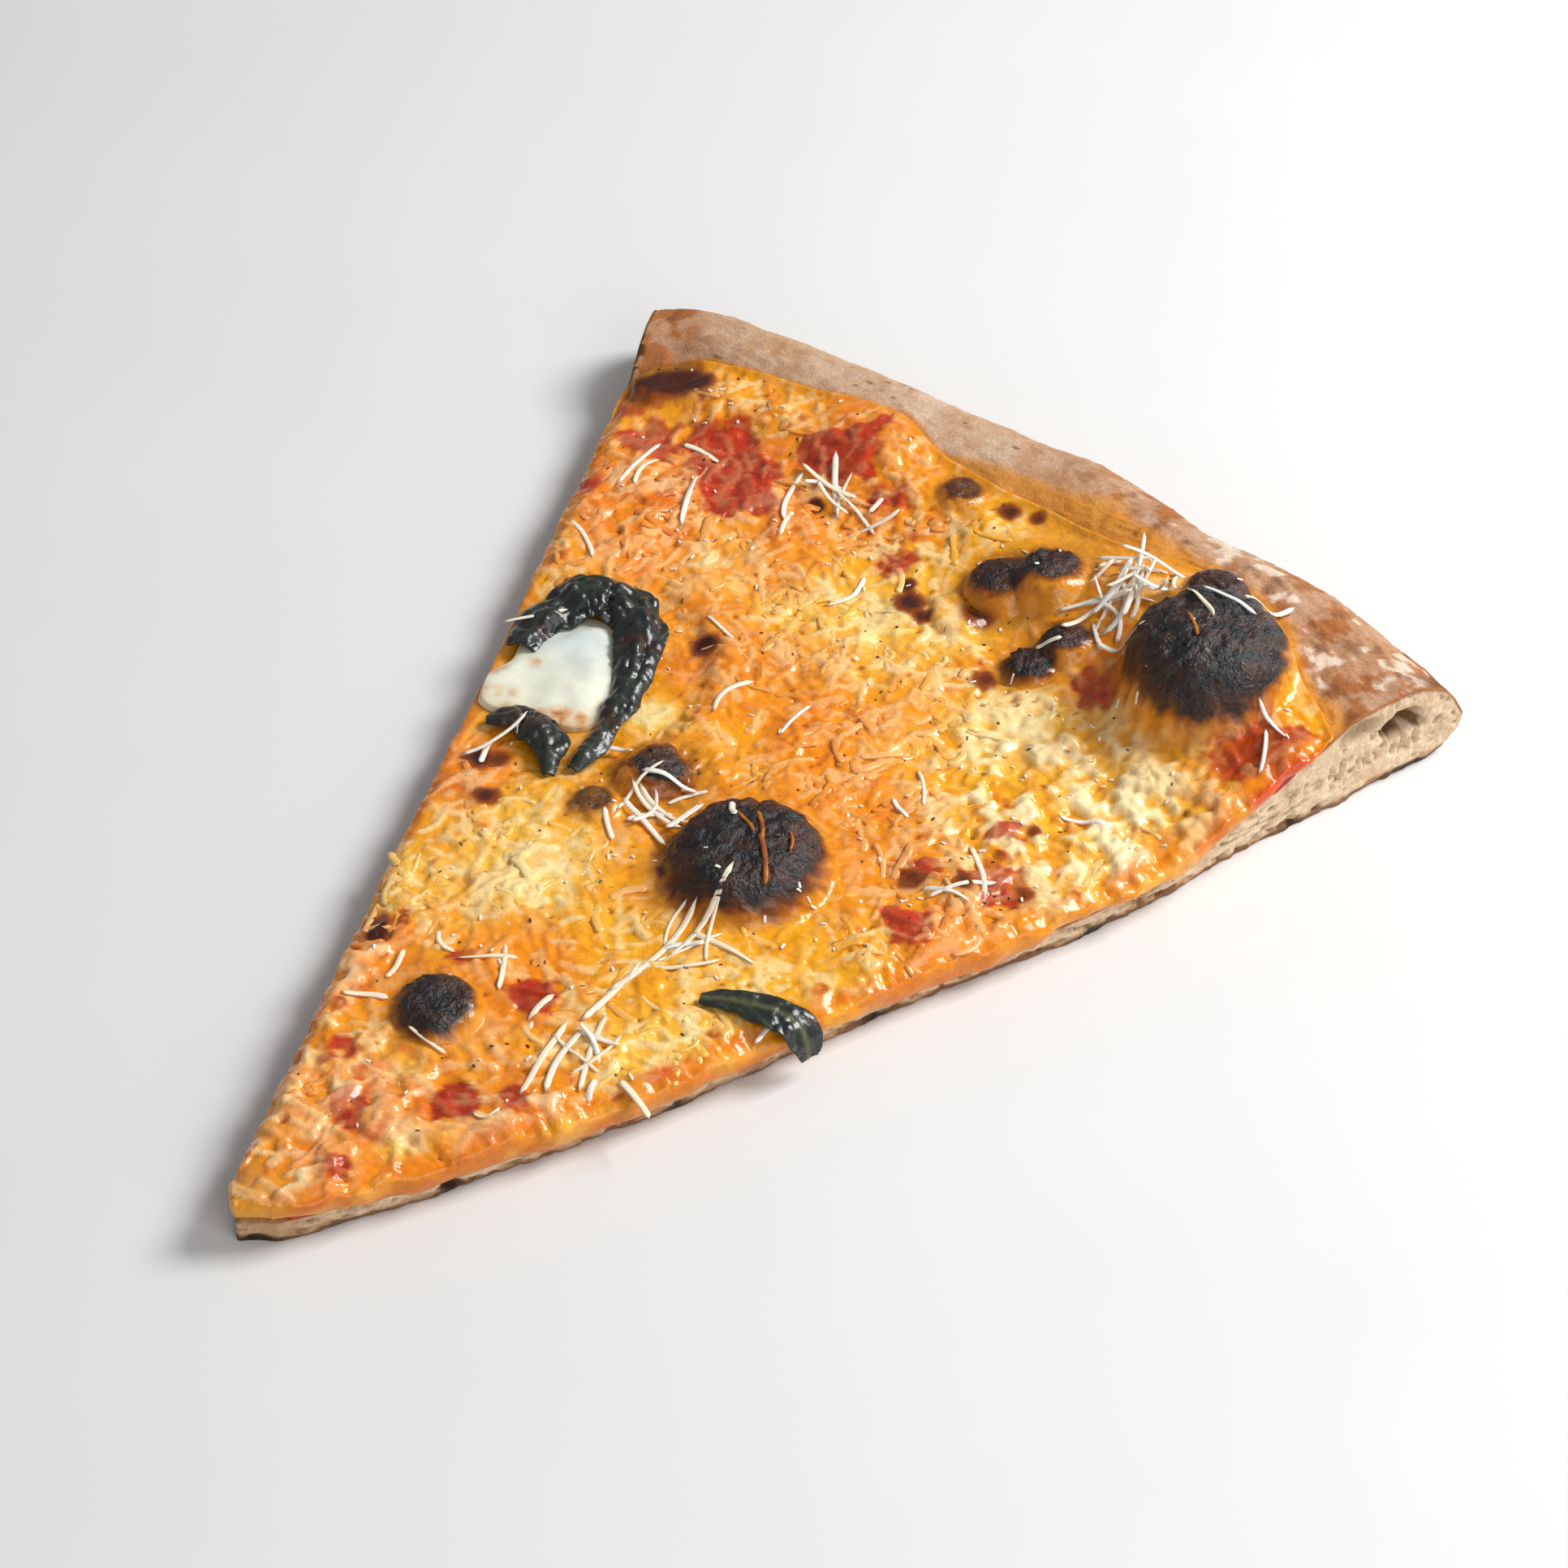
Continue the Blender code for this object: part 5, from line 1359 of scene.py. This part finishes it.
def make_leaf(name, finish, line, floor, arch, rows, columns, crumple, rib, seed):
    """A closed thin leaf along its middle line: arched across, crumpled, and quilted between its ribs."""
    knots = np.array(line)
    at = np.arange(len(knots))
    share = np.linspace(0, len(knots) - 1, rows + 1)
    x, y, z, half = (through(np.stack([at, column], 1), share) for column in knots.T)
    along = np.stack([np.gradient(x), np.gradient(y)], 1)
    step = np.linalg.norm(along, axis=1)
    run = np.cumsum(step)
    along /= step[:, None]
    v = np.linspace(-1, 1, columns + 1)
    far, side = np.broadcast_arrays(run[:, None], 20 * np.sign(v))
    off = half[:, None] * v * (1 + 0.26 * cloud(far, side, 3.6, seed))
    folds = 0.7 * clouds(far, 1.3 * off, 4.6, seed + 1)
    folds += 1.5 * np.abs(cloud(far, 1.1 * off, 4.4, seed + 4)) - 0.5
    folds += 0.75 * np.abs(cloud(far, off, 1.9, seed + 6)) + 0.25 * cloud(1.3 * far, off, 1.1, seed + 7)
    phase = (far - 1.1 * np.abs(off)) / VEIN_STEP + 0.5 * cloud(far, off, 6.0, seed + 5)
    side_rib = np.exp(-((np.abs(phase - np.round(phase)) * VEIN_STEP / 0.42) ** 2)) * min(rib, 1.0)
    middle_rib = np.exp(-((off / 0.5) ** 2))
    quilt = 0.4 * min(rib, 1.0) * (1 - side_rib) * (1 - middle_rib) * np.abs(np.sin(np.pi * phase))
    quilt *= 0.4 + 0.6 * np.abs(v)
    full = np.minimum(half / LEAF_FULL_ARCH, 1.0)[:, None]
    height = floor + z[:, None] + full * (arch * (1 - v**2) + crumple * folds + quilt)
    place = np.stack([x[:, None] - along[:, 1:] * off, y[:, None] + along[:, :1] * off, height], -1)
    normal = np.cross(np.gradient(place, axis=1), np.gradient(place, axis=0))
    normal *= np.sign(normal[..., 2:] + 1e-9)
    normal /= np.linalg.norm(normal, axis=2, keepdims=True)
    ribs = rib * np.maximum(0.9 * middle_rib, 0.3 * side_rib)
    skin = Skin()
    lower = skin.place(place - normal * LEAF_THICKNESS / 2)
    upper = skin.place(place + normal * LEAF_THICKNESS / 2, ribs)
    # Seen from above, a leaf drawn from its line's start to its end has its left side at v = 1.
    skin.cells(lower)
    skin.cells(upper, turned=True)
    skin.cells(np.stack([rim_of(upper), rim_of(lower)]))
    return skin.to_object(name, finish, leaf_tint)


# Shreds of hard cheese.

# The ones that lie singly, as (across, along) of both ends and their lift.
FRESH_SHREDS = (
    (43.5, 187.3, 52.6, 182.5, 0.2), (45.5, 189.1, 57.1, 188.6, 0.3), (52.4, 191.0, 56.7, 201.6, 0.4),
    (-1.9, 42.1, 5.8, 42.5, 0.2), (30.4, 54.6, 38.9, 51.8, 0.4), (65.3, 177.7, 72.4, 175.7, 0.3),
    (68.5, 175.5, 72.6, 167.7, 0.3), (-14.8, 55.5, -12.3, 48.3, 0.1), (-2.7, 66.0, 3.5, 57.3, 0.1),
    (-6.6, 58.4, 1.0, 65.3, 0.1), (-15.4, 41.3, -9.2, 45.8, 0.1), (18.8, 97.6, 19.4, 79.4, 0.0),
    (16.5, 91.1, 17.0, 67.3, 0.0), (19.0, 86.0, 31.6, 86.8, 0.1), (20.1, 64.2, 27.3, 48.9, 0.1),
    (16.5, 59.0, 20.8, 42.4, 0.1), (16.4, 77.0, 18.0, 60.2, 0.0), (19.6, 59.3, 23.4, 45.5, 0.2),
    (27.7, 52.6, 29.2, 48.9, 0.2), (42.1, 73.7, 42.9, 82.6, 1.3), (-63.5, 178.9, -61.8, 164.3, 0.1),
    (-51.9, 175.0, -45.7, 162.8, 0.1), (-62.7, 152.1, -52.3, 146.4, 0.1), (-10.4, 139.3, -10.7, 128.7, 0.1),
    (-27.3, 147.1, -19.6, 145.2, 0.1), (25.4, 130.9, 30.4, 128.8, 0.1), (0.9, 140.5, 1.0, 131.6, 0.1),
    (41.8, 130.1, 51.4, 121.0, 0.1), (-19.9, 111.2, -13.9, 110.9, 1.2), (-8.0, 100.1, -7.9, 112.5, 0.4),
    (-5.7, 99.5, -0.7, 105.9, 0.4), (-9.8, 108.5, -0.6, 112.1, 0.5), (-9.6, 98.9, -4.2, 94.6, 0.3),
    (23.9, 172.5, 27.7, 174.9, 0.2), (19.3, 95.9, 25.4, 82.2, 0.1), (9.3, 109.1, 12.4, 106.0, 0.1),
)
# The ones on the basil, as (both ends, lift over what they lie on, rise from the first end to the second).
BASIL_SHREDS = (
    (-52.6, 122.6, -45.0, 131.5, 3.9, 0.6), (-37.9, 95.1, -33.9, 108.0, 2.2, 3.4),
    (-34.0, 95.8, -36.1, 101.2, 0.7, 0.8),
)
# Toasted strings on the largest blister and by it, as (both ends, half the width).
TOASTED_STRINGS = (
    (14.2, 109.2, 19.4, 103.8, 0.42), (11.8, 106.8, 17.2, 104.6, 0.34), (17.8, 105.2, 25.4, 97.2, 0.48),
    (21.4, 108.6, 24.2, 105.0, 0.3), (48.2, 181.0, 53.0, 176.8, 0.36),
)
# Heaps, as (across, along, spread across, spread along, how many, height).
SHRED_HEAPS = (
    (32.5, 191.0, 6.5, 7.0, 22, 3.2), (31.0, 181.0, 5.0, 5.0, 9, 1.2), (-28.0, 184.5, 7.5, 7.5, 10, 1.2),
    (-5.0, 105.5, 7.0, 7.5, 11, 1.0), (22.0, 54.0, 6.0, 8.0, 5, 0.5), (20.0, 84.0, 7.0, 8.0, 5, 0.3),
    (-58.0, 168.0, 6.0, 9.0, 2, 0.2), (48.0, 115.0, 6.0, 8.0, 2, 0.2),
)
# Half the length of shreds in the heaps and of the loose ones, half their width, and their thickness.
HEAPED_HALF_LENGTH = (3.4, 7.0)
LOOSE_COUNT = 8
LOOSE_HALF_LENGTH = (2.2, 5.5)
SHRED_SECTIONS = 11
SHRED_CORNERS = 6
SHRED_HALF = (0.3, 0.6)
SHRED_THICKNESS = 0.3
SHRED_SEED = 31
WHITE_SHRED = (0.93, 0.90, 0.82)
WARM_SHRED = (0.95, 0.78, 0.54)
# The half-melted shreds: how many, length, half the width, how deep they are sunk, and thickness.
MELTED_COUNT = 950
MELTED_LENGTH = (2.2, 8.5)
MELTED_HALF = (0.45, 1.05)
MELTED_SUNK = (0.42, 0.58)
MELTED_THICKNESS = 0.6
MELTED_SEED = 37
STRING_THICKNESS = 0.45
OLIVE_HERB = (0.10, 0.11, 0.035)
# Tiny crumbs, as (finish, how many, least and most length, lift, seed).
SPECKS = {
    "white_flecks": ("grated_flecks", 170, 0.5, 1.3, 0.0, 41),
    "dark_crumbs": ("herbs_and_char", 160, 0.35, 0.9, -0.02, 43),
}


def settle(x, y, lift):
    """Heights of strips on the surface: they bridge its hollows, and sink a little into its crests."""
    ground = top_of_anything(x, y)
    smooth = ground.copy()
    for _ in range(2):
        smooth[:, 1:-1] = 0.5 * smooth[:, 1:-1] + 0.25 * (smooth[:, :-2] + smooth[:, 2:])
    return smooth + np.maximum(0, (ground - smooth).max(1, keepdims=True) - 0.3) + lift


def strips(ends, bows, halves, thickness, lift, tilt, twist):
    """Rings of flat strips with pointed ends, each along a bowed line that lies on the surface."""
    x0, y0, x1, y1 = (column[:, None] for column in ends.T)
    share = np.linspace(0, 1, SHRED_SECTIONS)
    length = np.hypot(x1 - x0, y1 - y0)
    nx, ny = -(y1 - y0) / length, (x1 - x0) / length
    bow = bows[:, None] * 4 * share * (1 - share)
    x, y = x0 + (x1 - x0) * share + nx * bow, y0 + (y1 - y0) * share + ny * bow
    z = settle(x, y, lift[:, None] + tilt[:, None] * (share - 0.5))
    line = np.stack([x, y, z], -1)
    along = np.gradient(line, axis=1)
    along /= np.linalg.norm(along, axis=2, keepdims=True)
    side = np.cross((0.0, 0.0, 1.0), along)
    side /= np.linalg.norm(side, axis=2, keepdims=True)
    up = np.cross(along, side)
    lean = (twist[:, None] * (share - 0.5))[..., None]
    side, up = side * np.cos(lean) + up * np.sin(lean), up * np.cos(lean) - side * np.sin(lean)
    taper = np.sqrt(np.clip(1 - (2 * share - 1) ** 12, 0, 1))
    half = (halves[:, None] * taper)[..., None, None]
    thick = (0.5 * thickness * taper)[..., None, None]
    angle = np.linspace(0, 2 * np.pi, SHRED_CORNERS, endpoint=False)[:, None]
    around = half * np.cos(angle) * side[:, :, None] + thick * np.sin(angle) * up[:, :, None]
    return line[:, :, None] + around + np.array((0.0, 0.0, 0.5 * thickness))


def shred_tint(points, zones):
    """White to warm cream, one tone for each shred."""
    return blend(even(WHITE_SHRED, zones), WARM_SHRED, zones)


def plan_middle_of(ends):
    """Plan places of the middles of straight pieces."""
    return (ends[:, 0] + ends[:, 2]) / 2, (ends[:, 1] + ends[:, 3]) / 2


def scattered(draw, count, low, high, where=(0.01, 0.97)):
    """Ends of that many straight pieces with lengths low to high, strewn evenly over the cheese."""
    s, t = draw.uniform(0.015, 0.985, count), np.sqrt(draw.uniform(*where, count))
    x, y = plan(s, t)
    turn, half = draw.uniform(0, np.pi, count), draw.uniform(low, high, count) / 2
    dx, dy = half * np.cos(turn), half * np.sin(turn)
    return np.stack([x - dx, y - dy, x + dx, y + dy], 1)


def melted_tint(points, zones):
    """Half-melted shreds: from the oil's colour to cream or pink, one tone for each."""
    x, y, _ = points.T
    colour, soaked, orange = oil_tint(x, y)
    light = blend(even(CREAM, x), PINK_CREAM, smooth_step((orange - 0.2) / 0.5))
    return blend(colour, light, (0.08 + 0.6 * zones**2) * (1 - 0.3 * soaked))


def make_melted_shreds(finish):
    """Shreds half sunk in the melted cheese, all over it except on the blisters and in the basil's bed."""
    draw = np.random.default_rng(MELTED_SEED)
    ends = scattered(draw, MELTED_COUNT, *MELTED_LENGTH)
    x, y = plan_middle_of(ends)
    busy = clouds(x, y, 14.0, 221) + 2.5 * calmness(x, y) + 1.3 * patches(RED_PATCHES, x, y)
    busy += 0.7 * smooth_step((48 - y) / 10) + 1.2 * ridges(x, y)[0] + 4.0 * scorched(x, y, 1.5, 0.2)
    ends = ends[busy + draw.uniform(-0.6, 0.6, len(ends)) < 0.4]
    count = len(ends)
    bows, halves = draw.normal(0, 0.8, count), draw.uniform(*MELTED_HALF, count)
    lift, twist = -draw.uniform(*MELTED_SUNK, count), draw.normal(0, 0.3, count)
    skin = Skin()
    rings = strips(ends, bows, halves, MELTED_THICKNESS, lift, np.zeros(count), twist)
    skin.tubes(rings, draw.uniform(0, 1, count)[:, None, None])
    return skin.to_object("half_melted_shreds", finish, melted_tint)


def make_specks(name, finish, tint, count, low, high, lift, seed):
    """Tiny flat crumbs strewn over the cheese: very short strips."""
    draw = np.random.default_rng(seed)
    ends = scattered(draw, count, low, high, (0.01, 1.0))
    none = np.zeros(count)
    skin = Skin()
    rings = strips(ends, none, draw.uniform(0.35, 0.6, count) * low, 0.6 * low, none + lift, none, none)
    skin.tubes(rings, draw.uniform(0, 1, count)[:, None, None])
    return skin.to_object(name, finish, tint)


def string_tint(points, zones):
    """Toasted brown, lighter in places."""
    x, y, _ = points.T
    return blend(even(TOAST, x), AMBER, 0.4 + 0.8 * clouds(x, y, 2.0, 225))


def make_toasted_strings(finish):
    """Browned strings of cheese on the blisters."""
    rows = np.array(TOASTED_STRINGS)
    count = len(rows)
    none = np.zeros(count)
    skin = Skin()
    skin.tubes(strips(rows[:, :4], none + 0.5, rows[:, 4], STRING_THICKNESS, none - 0.1, none, none))
    return skin.to_object("toasted_strings", finish, string_tint)


def herb_tint(points, zones):
    """Brown, black and olive crumbs."""
    colour = blend(even(TOAST, zones), CHAR, smooth_step((zones - 0.4) / 0.1))
    return blend(colour, OLIVE_HERB, smooth_step((zones - 0.75) / 0.05))


def make_shreds(finish):
    """The fresh shreds: those seen singly, the heaps, and loose ones all over."""
    draw = np.random.default_rng(SHRED_SEED)

    def turned_at(x, y, half_lengths):
        """Both ends of a straight piece with its middle there, turned at random."""
        turn, half = draw.uniform(0, np.pi), draw.uniform(*half_lengths)
        dx, dy = half * math.cos(turn), half * math.sin(turn)
        return x - dx, y - dy, x + dx, y + dy

    rows = [(*row, 0.0) for row in FRESH_SHREDS]
    for across, along, wide, deep, count, height in SHRED_HEAPS:
        for number in range(count):
            x, y = across + wide * draw.normal(0, 0.6), along + deep * draw.normal(0, 0.6)
            ends = turned_at(x, y, HEAPED_HALF_LENGTH)
            near = max(0.0, 1 - math.hypot((x - across) / wide, (y - along) / deep) / 1.6)
            rows.append((*ends, height * near * number / count, 1.3 * height * draw.normal()))
    # The loose ones keep clear of the cuts and of the tip.
    s, t = draw.uniform(0.08, 0.92, LOOSE_COUNT), np.sqrt(draw.uniform(0.02, 0.9, LOOSE_COUNT))
    rows += [(*turned_at(x, y, LOOSE_HALF_LENGTH), 0.0, 0.0) for x, y in np.stack(plan(s, t), 1)]
    rows = np.array(rows)
    middle = plan_middle_of(rows[:, :4])
    placed = np.arange(len(rows)) < len(FRESH_SHREDS)
    rows = np.vstack([rows[placed | (scorched(*middle, 0.5, 0.1) < 0.1)], BASIL_SHREDS])
    count = len(rows)
    skin = Skin()
    bows, halves = draw.normal(0, 0.8, count), draw.uniform(*SHRED_HALF, count)
    twist = draw.normal(0, 0.7, count)
    rings = strips(rows[:, :4], bows, halves, SHRED_THICKNESS, rows[:, 4], rows[:, 5], twist)
    warm = draw.uniform(0, 1, count)
    # Low ones in the front half have warmed and yellowed.
    low_in_front = smooth_step((104 - plan_middle_of(rows)[1]) / 16) * (rows[:, 4] < 0.15)
    skin.tubes(rings, np.maximum(warm, low_in_front)[:, None, None])
    return skin.to_object("fresh_shreds", finish, shred_tint)


def dress(piece, slot, *nodes):
    """The piece rides with the frame and stands for these nodes. The slot is not used."""
    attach(piece, "root")
    if nodes:
        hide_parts(*nodes)


pores_of_crumb = wall_chart()
dress(make_dough(dough_finish()), "dough", "dough")
dress(make_sauce(wet_finish("sauce")), "tomato_sauce", "tomato_sauce")
dress(make_cheese(cheese_finish()), "cheese", "cheese")
dress(make_mozzarella(wet_finish("mozzarella")), "mozzarella", "mozzarella")
basil = wet_finish("baked_basil")
for name, (node, *shape) in LEAVES.items():
    dress(make_leaf(name, basil, *shape), "basil", node)
dress(make_melted_shreds(wet_finish("half_melted_cheese")), "cheese")
dress(make_toasted_strings(wet_finish("toasted_cheese")), "cheese")
for (name, (finish, *sizes)), tint in zip(SPECKS.items(), (shred_tint, herb_tint)):
    dress(make_specks(name, wet_finish(finish), tint, *sizes), "cheese")
dress(make_shreds(wet_finish("hard_cheese")), "cheese")


# The stage: floor, light and camera.


FLOOR_HALF = 1.5
FLOOR_HEIGHT = -0.0002
FLOOR_COLOURS = ((0.74, 0.73, 0.71, 1.0), (0.78, 0.77, 0.75, 1.0))


def make_floor():
    """A large pale floor just under the slice."""
    mesh = bpy.data.meshes.new("floor")
    square = ((-1, -1), (1, -1), (1, 1), (-1, 1))
    corners = [(x * FLOOR_HALF, y * FLOOR_HALF, FLOOR_HEIGHT) for x, y in square]
    mesh.from_pydata(corners, [], [(0, 1, 2, 3)])
    f = Finish("pale_floor")
    mesh.materials.append(f.into(Base_Color=f.mix(*FLOOR_COLOURS, f.noise(60.0)), Roughness=0.7))
    floor = bpy.data.objects.new("floor", mesh)
    bpy.context.scene.collection.objects.link(floor)


def aimed(place, target=(0.0, 0.0, 0.0)):
    """The turn of a light or a camera at one place that looks at another."""
    return (Vector(target) - Vector(place)).to_track_quat("-Z", "Y").to_euler()


def make_light(name, place, power, size):
    """A square soft light of that many watts, aimed at the slice."""
    lamp = bpy.data.lights.new(name, "AREA")
    lamp.energy = power
    lamp.size = size
    thing = bpy.data.objects.new(name, lamp)
    thing.location = place
    thing.rotation_euler = aimed(place)
    bpy.context.scene.collection.objects.link(thing)


ROOM_LIGHT = (0.93, 0.95, 1.0, 1.0)


def make_world(strength):
    """An even pale surrounding light."""
    world = bpy.data.worlds.new("soft_room")
    world.use_nodes = True
    background = world.node_tree.nodes["Background"]
    background.inputs["Color"].default_value = ROOM_LIGHT
    background.inputs["Strength"].default_value = strength
    bpy.context.scene.world = world


# The camera's place and target, in millimetres like the slice, and its lens.
CAMERA_PLACE = (341.1, -296.4, 516.7)
CAMERA_TARGET = (3.54, 129.7, 0.0)
CAMERA_LENS = 102.5


def make_camera():
    """The view from the front right, 43.5 degrees above the floor."""
    camera = bpy.data.objects.new("camera", bpy.data.cameras.new("camera"))
    camera.data.lens = CAMERA_LENS
    camera.data.sensor_width = 36.0
    camera.location = (np.array(CAMERA_PLACE) - (*PLAN_MIDDLE, 0.0)) * MM
    camera.rotation_euler = aimed(CAMERA_PLACE, CAMERA_TARGET)
    bpy.context.scene.collection.objects.link(camera)
    bpy.context.scene.camera = camera


make_floor()
make_light("window", (0.42, 0.62, 0.68), 11.0, 0.42)
make_light("bounce", (0.8, -0.3, 0.5), 3.6, 0.7)
make_world(0.3)
make_camera()
bpy.context.scene.view_settings.view_transform = "Standard"
